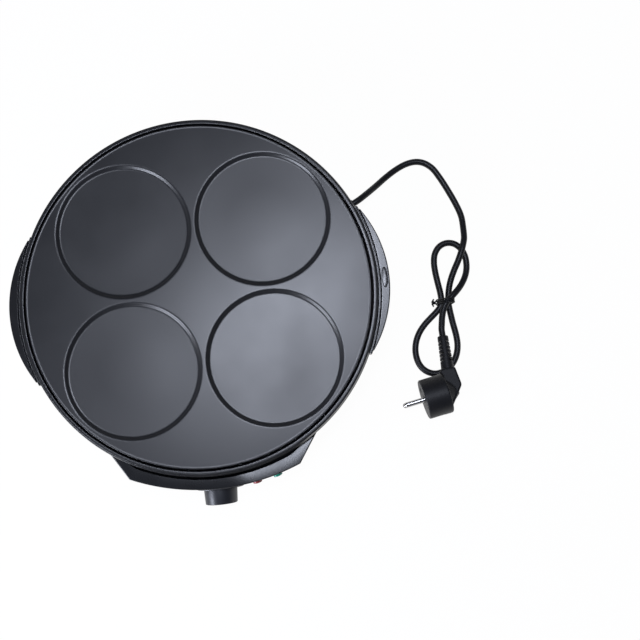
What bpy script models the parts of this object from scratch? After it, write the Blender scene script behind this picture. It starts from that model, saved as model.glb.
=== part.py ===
"""Electric pancake maker with four wells, seen from above in the photograph.

Frame: X to the right, Y to the rear, Z up, the table at Z = 0. The control
panel faces -Y. Every piece hangs under the empty "plate_axis", which stands on
the table below the centre of the cooking plate.
"""
import math

import bmesh
import bpy
from mathutils import Matrix, Vector

MM = 0.001

# Fits and fineness shared by all pieces
GAP = 0.3 * MM
OVERRUN = 2.0 * MM
MERGE = 0.01 * MM
RING_STEPS = 48
RING_FLAT_SHARE = math.cos(math.pi / RING_STEPS)
ROUND_STEPS = 24
SMALL_STEPS = 12
SMOOTH_ANGLE = math.radians(35)

# Rubber feet and their screws
FOOT_HEIGHT = 8.8 * MM
FOOT_TOP_RADIUS = 10.0 * MM
FOOT_BASE_RADIUS = 11.5 * MM
FOOT_CHAMFER = 1.2 * MM
FOOT_RECESS_DEPTH = 4.0 * MM
FOOT_INSET = 25.7 * MM
FOOT_ANGLES = [math.radians(45 + 90 * quarter) for quarter in range(4)]
FOOT_SCREW_RADIUS = 1.9 * MM
FOOT_SCREW_HEAD_RADIUS = 4.2 * MM
FOOT_SCREW_HEAD_HEIGHT = 2.4 * MM
FOOT_SCREW_PAST_FLANGE = 2.6 * MM

# Pressed steel cover under the body
COVER_SHEET = 1.0 * MM
COVER_PAN_RISE = 3.0 * MM
COVER_PAN_INSET = 47.7 * MM
COVER_PAN_SLOPE = 5.0 * MM
VENT_COUNT = 10
VENT_INSET = 26.0 * MM
VENT_LENGTH = 30.0 * MM
VENT_WIDTH = 4.4 * MM

# Body shell, moulded bowl that carries everything
SHELL_WALL = 2.5 * MM
SHELL_HEIGHT = 56.4 * MM
SHELL_TAPER = 16.2 * MM
SHELL_LIP = 1.3 * MM
SHELL_LIP_THICKNESS = 2.0 * MM
FLANGE_WIDTH = 26.0 * MM
SHELL_HEIGHT_SHARES = [1.0, 0.68, 0.535, 0.36, 0.18, 0.04, 0.0]
SHELL_INSET_SHARES = [0.0, 0.0, 0.075, 0.26, 0.57, 0.91, 1.0]
SEAT_DEPTH = 3.4 * MM
SEAT_PROUD = 1.0 * MM
SEAT_LIP = 1.6 * MM
SEAT_DROP = 18.7 * MM
SEAT_CHAMFER = 4.5 * MM
SEAT_ROOT = 1.2 * MM
SEAT_UNDERCUT = 0.8 * MM
SEAT_MARGIN_ANGLE = math.radians(4.3)
SEAT_STEPS = 12

# Rim ring round the plate
PLATE_EDGE_GAP = 1.9 * MM
RING_WALL = 1.4 * MM
RING_OVERHANG = 1.2 * MM
RING_RISE = 7.1 * MM
RING_SPIGOT = 8.5 * MM
RING_LEDGE = 4.0 * MM
RING_LEDGE_THICKNESS = 1.4 * MM
RING_INNER_ROUND = 0.6 * MM
RING_CREASE = 2.8 * MM
RING_CREASE_DEPTH = 0.6 * MM
RING_SHOULDER = 1.0 * MM
RING_SHOULDER_DROP = 1.4 * MM
RING_FLANK_DROP = 4.2 * MM

# Cast cooking plate with four wells
PLATE_RADIUS = 149.7 * MM
PLATE_PROUD = 0.4 * MM
PLATE_THICKNESS = 6.5 * MM
PLATE_SKIRT_WALL = 3.2 * MM
PLATE_EDGE_ROUND = 2.0 * MM
WELL_MARGIN = 2.99 * MM
WELL_SPACING = 1.6 * MM
WELL_DEPTH = 3.0 * MM
WELL_SLOPE = 3.0 * MM
WELL_FILLET = 0.9 * MM
WELL_STEPS = 36
ROUND_SHARES = [(0.0, 1.0), (0.5, 0.866), (0.866, 0.5), (1.0, 0.0)]

# Posts that carry the plate and the heat shield
POST_ANGLES = [math.radians(90), math.radians(210), math.radians(330)]
POST_INSET = 28.7 * MM
POST_RADIUS = 4.5 * MM
POST_NECK_RADIUS = 3.0 * MM
POST_SHOULDER_HEIGHT = 50.0 * MM
SHIELD_SHEET = 0.8 * MM
SHIELD_INSET = 18.7 * MM
SHIELD_RIM_HEIGHT = 5.0 * MM
SHIELD_RIM_SLOPE = 2.5 * MM
SHIELD_HOLE_RADIUS = 24.0 * MM

# Heating element under the plate, with its straps
ELEMENT_RADIUS = 3.3 * MM
ELEMENT_INSET = 53.7 * MM
ELEMENT_GAP_ANGLE = math.radians(16)
ELEMENT_BEND_RADIUS = 9.0 * MM
ELEMENT_LEG = 18.0 * MM
ELEMENT_PIN_SHARE = 0.45
ELEMENT_PIN_LENGTH = 7.0 * MM
ELEMENT_RING_STEPS = 28
ELEMENT_BEND_STEPS = 4
ELEMENT_SLOT_MARGIN = 3.0 * MM
STRAP_ANGLES = [math.radians(30), math.radians(150), math.radians(270)]
STRAP_THICKNESS = 1.0 * MM
STRAP_WIDTH = 10.0 * MM
STRAP_REACH = 12.0 * MM

# Thermal fuse against the plate
FUSE_RADIUS = 2.0 * MM
FUSE_LENGTH = 11.0 * MM
FUSE_LEAD_RADIUS = 0.6 * MM
FUSE_LEAD_LENGTH = 8.0 * MM
FUSE_INSET = 38.0 * MM

# Control panel on the front of the body
PANEL_DROP = 6.2 * MM
PANEL_LIFT = 1.2 * MM
PANEL_DEPTH = 12.9 * MM
PANEL_WALL = 2.5 * MM
PANEL_GROOVE_WIDTH = 4.0 * MM
PANEL_GROOVE_DEPTH = 6.0 * MM
PANEL_OUTER_ANGLE = math.radians(26.1)
PANEL_SIDE_ANGLE = math.radians(27)
PANEL_STEPS = 15
PANEL_EDGE_ROUND = 0.9 * MM
PANEL_FIT = 0.4 * MM
PAD_RADIUS = 22.0 * MM
PAD_PROUD = 0.2 * MM
PAD_SINK = 0.26 * MM
PANEL_OPENING_WIDTH = 72.0 * MM
PANEL_OPENING_LOW = 16.0 * MM
PANEL_OPENING_HIGH = 50.0 * MM
PANEL_OPENING_DEPTH = 40.0 * MM
PANEL_SCREW_ANGLE = math.radians(22)
PANEL_SCREW_HEIGHT = 24.0 * MM
PANEL_POST_RADIUS = 4.2 * MM

# Screws that hold the panel and the handles from inside the body
SIDE_SCREW_RADIUS = 1.6 * MM
SIDE_SCREW_HEAD_RADIUS = 3.2 * MM
SIDE_SCREW_HEAD_HEIGHT = 2.0 * MM
PANEL_SCREW_LENGTH = 13.0 * MM
HANDLE_SCREW_LENGTH = 9.6 * MM
HANDLE_SCREW_DROP = 14.2 * MM
HANDLE_SCREW_SHARE = 0.507

# Side handles
HANDLE_REACH = 11.2 * MM
HANDLE_ARC_RADIUS = 109.0 * MM
HANDLE_HEIGHT = 22.2 * MM
HANDLE_WALL = 1.8 * MM
HANDLE_ROOF = 3.4 * MM
HANDLE_ROUND = 1.4 * MM
HANDLE_END_THICKNESS = 1.26 * MM
HANDLE_POCKET_END = 1.62 * MM
HANDLE_STEPS = 15
CAP_LENGTH = 17.6 * MM
CAP_WIDTH = 5.4 * MM
CAP_DEPTH = 1.5 * MM
CAP_INSET = 4.3 * MM
CAP_STEPS = 16

# Knob, dial and thermostat
KNOB_HEIGHT = 31.0 * MM
KNOB_RADIUS = 14.9 * MM
KNOB_TIP_RADIUS = 14.2 * MM
KNOB_LENGTH = 14.9 * MM
KNOB_EDGE_ROUND = 1.0 * MM
KNOB_CLEARANCE = 0.5 * MM
KNOB_BORE_DEPTH = 11.0 * MM
KNOB_STEPS = 32
POINTER_WIDTH = 1.6 * MM
POINTER_DEPTH = 0.7 * MM
POINTER_START = 3.0 * MM
POINTER_REST_ANGLE = math.radians(-135)
DIAL_RADIUS = 21.0 * MM
DIAL_THICKNESS = 0.8 * MM
DIAL_HOLE_RADIUS = 4.0 * MM
SHAFT_RADIUS = 3.0 * MM
SHAFT_FLAT = 2.2 * MM
SHAFT_FLAT_LENGTH = 12.0 * MM
THERMOSTAT_WIDTH = 26.0 * MM
THERMOSTAT_HEIGHT = 24.0 * MM
THERMOSTAT_DEPTH = 16.5 * MM
THERMOSTAT_EDGE = 1.0 * MM
BUSH_RADIUS = 5.0 * MM
BUSH_LENGTH = 9.0 * MM
BUSH_BORE_DEPTH = 15.0 * MM
BRACKET_SHEET = 1.2 * MM
BRACKET_WIDTH = 24.0 * MM
BRACKET_INSET = 15.7 * MM
BRACKET_STRAP_GAP = 4.0 * MM
BRACKET_TAIL = 2.0 * MM

# Pilot lights beside the knob
LIGHT_ANGLES = {"red": math.radians(11.4), "green": math.radians(17.8)}
LIGHT_HEIGHT = 34.0 * MM
LENS_RADIUS = 4.0 * MM
LENS_PROUD = 2.6 * MM
LENS_FLANGE_RADIUS = 4.6 * MM
LENS_FLANGE = 0.6 * MM
LENS_STEM_RADIUS = 3.3 * MM
LENS_STEM = 6.0 * MM
SLEEVE_WALL = 1.1 * MM
SLEEVE_LENGTH = 11.0 * MM
LAMP_RADIUS = 2.5 * MM
LAMP_LENGTH = 8.0 * MM

# Terminal block, wires and strain relief
CORD_ANGLE = math.radians(28.5)
CORD_RADIUS = 3.0 * MM
RELIEF_HEIGHT = 22.0 * MM
RELIEF_NECK_RADIUS = 5.2 * MM
RELIEF_COLLAR_RADIUS = 8.0 * MM
RELIEF_COLLAR = 2.2 * MM
RELIEF_INSIDE = 8.5 * MM
RELIEF_FLANGE_RADIUS = 6.8 * MM
RELIEF_FLANGE = 1.6 * MM
RELIEF_FLANGE_OFFSET = 4.0 * MM
RELIEF_OUTSIDE = 15.8 * MM
RELIEF_TIP_RADIUS = 4.1 * MM
BLOCK_INSET = 28.7 * MM
BLOCK_LENGTH = 28.0 * MM
BLOCK_WIDTH = 14.0 * MM
BLOCK_HEIGHT = 11.0 * MM
BLOCK_SCREW_PITCH = 9.0 * MM
BLOCK_SCREW_RADIUS = 2.2 * MM
BLOCK_SCREW_DEPTH = 4.0 * MM
WIRE_RADIUS = 1.1 * MM
WIRE_RUN_INSET = 49.7 * MM
WIRE_RUN_HEIGHT = 20.0 * MM
WIRE_END_RUN = 8.0 * MM
WIRE_STEP = 15.0 * MM
EARTH_RUN_INSET = 32.7 * MM
LUG_RADIUS = 8.0 * MM
LUG_SHEET = 0.8 * MM

# Cord: the routes are in millimetres from the plate's axis, the table at zero.
# They meet at the joint, where the cord first rises over its own hank.
CORD_STEP = 13.0 * MM
HANK_STEP = 6.0 * MM
LEAD_ROUTE = [
    (158.6, 88.0, 17.6), (167.5, 95.4, 11.6), (178.3, 104.5, 6.0), (188.8, 111.6, 3.9),
    (199.1, 116.4, 3.2), (208.9, 117.9, 3.2), (217.4, 115.6, 3.2), (224.5, 109.8, 3.2),
    (229.6, 101.7, 3.2), (234.2, 92.8, 3.2), (238.2, 84.2, 3.2), (242.0, 75.4, 3.2),
    (245.3, 66.2, 3.5), (246.8, 59.2, 4.2),
]
CORD_JOINT = (246.8, 46.6, 6.4)
CORD_JOINT_RUN = (-0.04, -0.978, 0.205)
HANK_ROUTE = [
    (245.2, 34.6, 9.2), (242.2, 26.3, 10.2), (238.2, 17.4, 9.6),
    (233.6, 8.7, 7.6), (229.6, -0.2, 5.9), (226.8, -9.5, 5.1), (225.3, -20.0, 4.9),
    (225.6, -27.2, 4.6), (226.4, -33.5, 4.0), (227.4, -40.5, 3.4), (228.6, -47.5, 3.2),
    (229.5, -54.5, 3.2), (229.6, -61.8, 3.2), (228.2, -69.0, 3.2), (225.0, -76.0, 3.2),
    (220.0, -81.8, 3.2), (213.2, -85.6, 3.2), (205.6, -86.6, 3.2), (198.6, -84.2, 3.2),
    (193.2, -79.0, 3.2), (190.2, -71.6, 3.2), (189.6, -63.0, 3.2), (191.4, -54.4, 3.2),
    (195.4, -46.4, 3.2), (201.0, -39.6, 3.3), (207.2, -34.0, 3.8), (213.0, -29.0, 4.4),
    (217.2, -24.4, 4.8), (218.8, -18.6, 4.9), (218.6, -10.8, 4.4), (217.4, -1.2, 3.6),
    (216.3, 8.6, 3.2), (216.0, 17.8, 3.2), (217.6, 26.2, 3.2), (222.2, 32.8, 3.2),
    (229.0, 35.9, 3.2), (236.4, 34.9, 3.2), (242.4, 30.0, 3.2), (245.8, 22.8, 3.2),
    (246.6, 14.6, 3.4), (245.3, 6.6, 4.2), (242.2, -0.4, 5.9), (237.6, -7.0, 8.3),
    (232.2, -12.6, 10.7), (226.6, -17.6, 11.6), (222.0, -22.2, 11.1), (219.0, -28.0, 10.2),
    (217.2, -34.6, 9.2), (216.3, -40.6, 8.2),
]

# Twist tie round the hank: its loop goes round three strands, each given by
# its place across and above the tie, its ends twist together beside them
TIE_RADIUS = 0.6 * MM
TIE_CLEARANCE = 0.35 * MM
TIE_PLACE = (218.5, -20.2, 4.9)
TIE_STRANDS = [(0.0, 0.0, 0.0), (6.8, 0.0, 0.0), (5.6, 6.5, 1.7)]
TIE_LOOP_STEPS = 20
TIE_TWIST_RADIUS = 0.9 * MM
TIE_TWIST_LENGTH = 3.4 * MM
TIE_TWIST_STEPS = 8
TIE_NECK = 1.4 * MM
TIE_ENDS = [(-7.6, 3.2, 0.8), (-7.2, -4.6, -2.2)]

# Mains plug, lying on its side. In its frame X points down, Y towards the
# cord and Z away from the pins
PLUG_RADIUS = 18.5 * MM
PLUG_DEPTH = 23.0 * MM
PLUG_FACE_CENTRE = (190.6, -109.9)
PLUG_LIFT = 0.1 * MM
PLUG_TURN = math.radians(11.5)
PLUG_ROLL = math.radians(11)
PLUG_EDGE_ROUND = 1.2 * MM
PLUG_BACK_RISE = 14.2 * MM
PLUG_BACK_ROOT = 5.0 * MM
PLUG_BACK_HALF = 6.4 * MM
PLUG_BACK_ROUND = 2.0 * MM
PLUG_BACK_SHARES = [(-0.89, 0.14), (-0.76, 0.0), (0.76, 0.0), (1.18, 0.29), (1.11, 0.97), (0.14, 1.0)]
PLUG_HUMP_RADIUS = 16.4 * MM
PLUG_HUMP_TIP_RADIUS = 4.0 * MM
PLUG_HUMP_RISE = 10.0 * MM
NECK_RADIUS = 6.2 * MM
NECK_TIP_RADIUS = 5.0 * MM
NECK_BACK = 6.3 * MM
NECK_ROOT = 16.0 * MM
NECK_LENGTH = 36.5 * MM
NECK_TURN = math.radians(10.5)
NECK_SLOT_COUNT = 6
NECK_SLOT_PITCH = 3.6 * MM
NECK_SLOT_WIDTH = 1.4 * MM
NECK_SPINE_HALF = 1.8 * MM
NECK_SLOT_START = 12.0 * MM
PIN_RADIUS = 2.4 * MM
PIN_LENGTH = 19.0 * MM
PIN_ROOT = 5.0 * MM
PIN_SPACING = 19.0 * MM
PIN_TIP_ROUND = 1.4 * MM
EARTH_GROOVE_WIDTH = 6.4 * MM
EARTH_GROOVE_DEPTH = 1.8 * MM
EARTH_GROOVE_LENGTH = 15.0 * MM
EARTH_STRIP_THICKNESS = 0.8 * MM
EARTH_HOLE_RADIUS = 2.5 * MM
EARTH_HOLE_DEPTH = 12.0 * MM
EARTH_HOLE_OFFSET = 9.5 * MM

# Heights that follow from the stack, from the table up
cover_low = FOOT_HEIGHT + GAP
cover_high = cover_low + COVER_SHEET
flange_low = cover_high + GAP
flange_high = flange_low + SHELL_WALL
shell_low = cover_low - SHELL_LIP
shell_high = shell_low + SHELL_HEIGHT
ring_low = shell_high + GAP
ring_high = ring_low + RING_RISE
plate_high = ring_high + PLATE_PROUD
plate_low = plate_high - PLATE_THICKNESS
seat_high = shell_high + SEAT_PROUD
panel_high = shell_high - PANEL_DROP
panel_low = shell_low + PANEL_LIFT

# Radii that follow from the plate inwards
foot_circle = PLATE_RADIUS - FOOT_INSET
cover_pan_radius = PLATE_RADIUS - COVER_PAN_INSET
vent_inner = cover_pan_radius - VENT_INSET - VENT_LENGTH
well_edge = (PLATE_RADIUS - WELL_MARGIN - math.sqrt(2) * WELL_SPACING / 2) / (1 + math.sqrt(2))
well_offset = well_edge + WELL_SPACING / 2
post_circle = PLATE_RADIUS - POST_INSET
shield_radius = PLATE_RADIUS - SHIELD_INSET
element_ring = PLATE_RADIUS - ELEMENT_INSET
bracket_reach = PLATE_RADIUS - BRACKET_INSET
block_circle = PLATE_RADIUS - BLOCK_INSET
wire_run = PLATE_RADIUS - WIRE_RUN_INSET
earth_run = PLATE_RADIUS - EARTH_RUN_INSET

# Radii that follow from the plate outwards
ring_inner = PLATE_RADIUS + PLATE_EDGE_GAP
spigot_outer = ring_inner + RING_WALL
shell_inner = spigot_outer + GAP
shell_outer = shell_inner + SHELL_WALL
ring_outer = shell_outer + RING_OVERHANG
seat_outer = shell_outer + SEAT_DEPTH
handle_inner = seat_outer + GAP
handle_outer = shell_outer + HANDLE_REACH
handle_centre = handle_outer - HANDLE_ARC_RADIUS
panel_outer = shell_outer + PANEL_DEPTH
pad_face = panel_outer + PAD_PROUD
dial_back = pad_face + GAP
dial_face = dial_back + DIAL_THICKNESS
knob_back = dial_face + KNOB_CLEARANCE
knob_tip = knob_back + KNOB_LENGTH



def handle_turn(reach, radius):
    """The angle at which the handle's outer arc of the given radius is this far from the axis."""
    return math.acos((reach ** 2 + handle_centre ** 2 - radius ** 2) / (2 * reach * handle_centre))


handle_end_turn = handle_turn(handle_inner + HANDLE_END_THICKNESS, HANDLE_ARC_RADIUS)
seat_turn = handle_end_turn + SEAT_MARGIN_ANGLE

# The frame's origin is the middle of the box round the body, knob and handles
AXIS_Y = (knob_tip - ring_outer) / 2

for stale in list(bpy.data.objects):
    bpy.data.objects.remove(stale, do_unlink=True)

parts = bpy.data.collections.new("pancake_maker")
cutters = bpy.data.collections.new("cutters")
bpy.context.scene.collection.children.link(parts)
bpy.context.scene.collection.children.link(cutters)

plate_axis = bpy.data.objects.new("plate_axis", None)
plate_axis.location = (0, AXIS_Y, 0)
parts.objects.link(plate_axis)


def finish(name, colour, roughness, metallic=0.0):
    material = bpy.data.materials.new(name)
    material.use_nodes = True
    shader = material.node_tree.nodes["Principled BSDF"]
    shader.inputs["Base Color"].default_value = (*colour, 1.0)
    shader.inputs["Roughness"].default_value = roughness
    shader.inputs["Metallic"].default_value = metallic
    return material


non_stick = finish("non_stick_coating", (0.075, 0.077, 0.085), 0.38, 0.2)
black_plastic = finish("black_moulded_plastic", (0.022, 0.022, 0.025), 0.38)
knob_plastic = finish("satin_knob_plastic", (0.06, 0.065, 0.075), 0.42)
black_rubber = finish("black_rubber", (0.015, 0.015, 0.016), 0.75)
cord_pvc = finish("black_cord_pvc", (0.018, 0.018, 0.02), 0.5)
steel = finish("zinc_plated_steel", (0.62, 0.62, 0.6), 0.35, 1.0)
dark_steel = finish("painted_black_steel", (0.03, 0.03, 0.032), 0.5, 0.3)
element_steel = finish("element_sheath_steel", (0.33, 0.31, 0.28), 0.45, 1.0)
nickel = finish("nickel_plated_brass", (0.75, 0.74, 0.7), 0.2, 1.0)
ceramic = finish("white_ceramic", (0.85, 0.83, 0.78), 0.4)
dial_print = finish("dial_sheet", (0.05, 0.05, 0.055), 0.35)
red_lens = finish("red_lens", (0.6, 0.03, 0.03), 0.15)
green_lens = finish("green_lens", (0.02, 0.5, 0.2), 0.15)
lamp_glass = finish("neon_lamp_glass", (0.8, 0.6, 0.45), 0.1)
wire_brown = finish("brown_wire", (0.16, 0.06, 0.02), 0.45)
wire_blue = finish("blue_wire", (0.02, 0.08, 0.4), 0.45)
wire_yellow = finish("green_yellow_wire", (0.45, 0.6, 0.04), 0.45)


def adopt(obj, material=None, cutter=False, parent=None):
    """Put an object in its collection, under the plate's axis or another parent."""
    (cutters if cutter else parts).objects.link(obj)
    obj.parent = parent or plate_axis
    if cutter:
        obj.hide_render = True
        obj.display_type = "WIRE"
    else:
        obj.data.materials.append(material)
    return obj


def mesh_object(name, build, frame=None, **kept):
    """Make a mesh object from a function that fills a bmesh."""
    work = bmesh.new()
    build(work)
    mesh = bpy.data.meshes.new(name)
    work.to_mesh(mesh)
    work.free()
    obj = bpy.data.objects.new(name, mesh)
    obj.matrix_local = frame or Matrix.Identity(4)
    return adopt(obj, **kept)


def turned(name, profile, steps=ROUND_STEPS, closed=True, frame=None, **kept):
    """Turn a profile of (radius, height) points, listed down its outer side."""
    def build(work):
        points = [work.verts.new((radius, 0, height)) for radius, height in profile]
        for start, end in zip(points, points[1:]):
            work.edges.new((start, end))
        if closed:
            work.edges.new((points[-1], points[0]))
    obj = mesh_object(name, build, frame, **kept)
    screw = obj.modifiers.new("turn", "SCREW")
    screw.steps = screw.render_steps = steps
    screw.use_merge_vertices = True
    screw.merge_threshold = MERGE
    screw.use_smooth_shade = True
    return obj


def rod(name, radius, low, high, steps=SMALL_STEPS, frame=None, tip_radius=None, **kept):
    """A closed cylinder or cone along the frame's Z, from low to high, a flat side towards its X."""
    def build(work):
        bmesh.ops.create_cone(
            work, cap_ends=True, segments=steps, radius1=radius,
            radius2=radius if tip_radius is None else tip_radius, depth=high - low,
            matrix=Matrix.Translation((0, 0, (low + high) / 2)) @ Matrix.Rotation(math.pi / steps, 4, "Z"))
    return mesh_object(name, build, frame, **kept)


def box(name, low, high, frame=None, **kept):
    """A closed box between two corners."""
    low, high = Vector(low), Vector(high)

    def build(work):
        centre = Matrix.Translation((low + high) / 2)
        bmesh.ops.create_cube(work, size=1, matrix=centre @ Matrix.Diagonal((*(high - low), 1)))
    return mesh_object(name, build, frame, **kept)


def curve_mesh(name, curve_data, frame, **kept):
    """Turn a filled curve into a welded mesh object."""
    curve = bpy.data.objects.new(name + "_curve", curve_data)
    parts.objects.link(curve)
    bpy.context.view_layer.update()
    mesh = bpy.data.meshes.new_from_object(curve.evaluated_get(bpy.context.evaluated_depsgraph_get()))
    work = bmesh.new()
    work.from_mesh(mesh)
    bmesh.ops.remove_doubles(work, verts=work.verts, dist=MERGE)
    work.to_mesh(mesh)
    work.free()
    mesh.materials.clear()
    bpy.data.objects.remove(curve, do_unlink=True)
    obj = bpy.data.objects.new(name, mesh)
    obj.matrix_local = frame or Matrix.Identity(4)
    return adopt(obj, **kept)


def extruded(name, outline, low, high, frame=None, **kept):
    """A flat outline, filled and given its thickness along the frame's Z."""
    data = bpy.data.curves.new(name, "CURVE")
    data.dimensions = "2D"
    data.fill_mode = "BOTH"
    data.extrude = (high - low) / 2
    spline = data.splines.new("POLY")
    spline.points.add(len(outline) - 1)
    for point, (x, y) in zip(spline.points, outline):
        point.co = (x, y, 0, 1)
    spline.use_cyclic_u = True
    raised = (frame or Matrix.Identity(4)) @ Matrix.Translation((0, 0, (low + high) / 2))
    return curve_mesh(name, data, raised, **kept)


def tube(name, points, radius, sides=1, shares=None, material=None):
    """A round tube along a list of points, with closed ends."""
    data = bpy.data.curves.new(name, "CURVE")
    data.dimensions = "3D"
    data.bevel_depth = radius
    data.bevel_resolution = sides
    data.use_fill_caps = True
    spline = data.splines.new("POLY")
    spline.points.add(len(points) - 1)
    for index, (point, place) in enumerate(zip(spline.points, points)):
        point.co = (*place, 1)
        point.radius = shares[index] if shares else 1
    return adopt(bpy.data.objects.new(name, data), material)


def boolean(target, tool, operation="DIFFERENCE"):
    step = target.modifiers.new(operation.lower(), "BOOLEAN")
    step.operation = operation
    step.object = tool


def rounded(obj, width, segments=2, angle=SMOOTH_ANGLE):
    bevel = obj.modifiers.new("rounded", "BEVEL")
    bevel.width = width
    bevel.segments = segments
    bevel.limit_method = "ANGLE"
    bevel.angle_limit = angle


def rounded_where(obj, width, chosen):
    """Round only the edges whose two ends the test accepts."""
    weights = obj.data.attributes.new("bevel_weight_edge", "FLOAT", "EDGE")
    for edge in obj.data.edges:
        ends = [obj.data.vertices[index].co for index in edge.vertices]
        weights.data[edge.index].value = float(all(chosen(end) for end in ends) and ends[0].z == ends[1].z)
    bevel = obj.modifiers.new("rounded", "BEVEL")
    bevel.width = width
    bevel.segments = 2
    bevel.limit_method = "WEIGHT"


def around(angle, radius, height=0.0):
    """A frame at a place round the axis, its X pointing outwards."""
    return Matrix.Rotation(angle, 4, "Z") @ Matrix.Translation((radius, 0, height))


def radial(angle, height):
    """A frame on the axis whose Z points outwards, level with the table."""
    turn = Matrix.Rotation(angle, 4, "Z") @ Matrix.Rotation(math.pi / 2, 4, "Y")
    return Matrix.Translation((0, 0, height)) @ turn


def arc(centre_x, radius, start, end, steps):
    """Points on an arc about (centre_x, 0)."""
    turns = [start + (end - start) * step / steps for step in range(steps + 1)]
    return [(centre_x + radius * math.cos(turn), radius * math.sin(turn)) for turn in turns]


def shell_profile(inset):
    """Points down the shell's outer side, moved inwards by inset."""
    outer = [Vector((shell_outer - share * SHELL_TAPER, 0, shell_low + rise * SHELL_HEIGHT))
             for share, rise in zip(SHELL_INSET_SHARES, SHELL_HEIGHT_SHARES)]
    moved = []
    for index, point in enumerate(outer):
        before = outer[max(index - 1, 0)]
        after = outer[min(index + 1, len(outer) - 1)]
        run = (after - before).normalized()
        inwards = Vector((run.z, 0, -run.x))
        moved.append((point.x + inwards.x * inset, point.z + inwards.z * inset))
    return moved


def shell_radius(height, inset=0.0):
    """The shell wall's radius at a height, on the surface that inset names."""
    points = shell_profile(inset)
    for (upper_radius, upper), (lower_radius, lower) in zip(points, points[1:]):
        if lower <= height <= upper:
            return lower_radius + (upper_radius - lower_radius) * (height - lower) / (upper - lower)
    return points[0][0]


def route(points, step):
    """A smooth route through the points, a step apart between its straight first and last runs."""
    fine = []
    for a, b, c, d in zip(points, points[1:], points[2:], points[3:]):
        for fraction in (number / 12 for number in range(12)):
            fine.append((2 * b + (c - a) * fraction + (2 * a - 5 * b + 4 * c - d) * fraction ** 2
                         + (3 * b - a - 3 * c + d) * fraction ** 3) / 2)
    fine.append(points[-2])
    along = [0.0]
    for start, end in zip(fine, fine[1:]):
        along.append(along[-1] + (end - start).length)
    count = max(round(along[-1] / step), 2)
    spaced, index = [], 0
    for number in range(count):
        goal = along[-1] * number / count
        while along[index + 1] < goal:
            index += 1
        share = (goal - along[index]) / (along[index + 1] - along[index])
        spaced.append(fine[index].lerp(fine[index + 1], share))
    return [points[0]] + spaced + [fine[-1], points[-1]]


# Feet, each with the screw that goes up through the cover into the shell
bore = FOOT_SCREW_RADIUS + GAP
recess = FOOT_SCREW_HEAD_RADIUS + GAP
for number, angle in enumerate(FOOT_ANGLES, 1):
    place = around(angle, foot_circle)
    turned(f"foot_{number}", [
        (FOOT_TOP_RADIUS, FOOT_HEIGHT), (FOOT_BASE_RADIUS, FOOT_CHAMFER),
        (FOOT_BASE_RADIUS - FOOT_CHAMFER, 0), (recess, 0), (recess, FOOT_RECESS_DEPTH),
        (bore, FOOT_RECESS_DEPTH), (bore, FOOT_HEIGHT)], SMALL_STEPS, frame=place, material=black_rubber)
    head_high = FOOT_RECESS_DEPTH - GAP
    turned(f"foot_screw_{number}", [
        (0, flange_high + FOOT_SCREW_PAST_FLANGE), (FOOT_SCREW_RADIUS, flange_high + FOOT_SCREW_PAST_FLANGE),
        (FOOT_SCREW_RADIUS, head_high), (FOOT_SCREW_HEAD_RADIUS, head_high),
        (FOOT_SCREW_HEAD_RADIUS, head_high - FOOT_SCREW_HEAD_HEIGHT), (0, head_high - FOOT_SCREW_HEAD_HEIGHT)],
        SMALL_STEPS, closed=False, frame=place, material=steel)
    rod(f"foot_screw_hole_{number}", bore, cover_low - OVERRUN, flange_high + OVERRUN, frame=place, cutter=True)

# Base cover, a pressed steel disc with vent slots
lip_inner = shell_outer - SHELL_TAPER - SHELL_LIP_THICKNESS
cover_radius = lip_inner - GAP
slope_radius = cover_pan_radius + COVER_PAN_SLOPE
base_cover = turned("base_cover", [
    (0, cover_high + COVER_PAN_RISE), (cover_pan_radius, cover_high + COVER_PAN_RISE),
    (slope_radius, cover_high), (cover_radius, cover_high), (cover_radius, cover_low),
    (slope_radius, cover_low), (cover_pan_radius, cover_low + COVER_PAN_RISE), (0, cover_low + COVER_PAN_RISE)],
    RING_STEPS, closed=False, material=dark_steel)
for number in range(1, len(FOOT_ANGLES) + 1):
    boolean(base_cover, bpy.data.objects[f"foot_screw_hole_{number}"])
for number in range(VENT_COUNT):
    slot = box(f"vent_slot_{number + 1}", (0, -VENT_WIDTH / 2, cover_low - OVERRUN),
               (VENT_LENGTH, VENT_WIDTH / 2, cover_high + COVER_PAN_RISE + OVERRUN),
               around(2 * math.pi * number / VENT_COUNT, vent_inner), cutter=True)
    boolean(base_cover, slot)

# Body shell, with the two raised seats that the handles are screwed to
shell_inside = [point for point in shell_profile(SHELL_WALL) if point[1] > flange_high]
shell_inside.append((shell_radius(flange_high, SHELL_WALL), flange_high))
flange_inner = lip_inner - FLANGE_WIDTH
body_shell = turned(
    "body_shell", shell_profile(0.0) + [(lip_inner, shell_low), (lip_inner, flange_low),
                                        (flange_inner, flange_low), (flange_inner, flange_high)]
    + shell_inside[::-1], RING_STEPS, material=black_plastic)
seat_root = shell_outer - SEAT_ROOT
seat_lip = seat_outer - SEAT_LIP
seat_low = seat_high - SEAT_DROP
seat_profile = [
    (seat_root, seat_low - SEAT_CHAMFER), (seat_outer, seat_low), (seat_outer, seat_high), (seat_lip, seat_high),
    (seat_lip, shell_high - SEAT_UNDERCUT), (seat_root, shell_high - SEAT_UNDERCUT)]
HANDLE_SIDES = {"right": 0.0, "left": math.pi}
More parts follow.
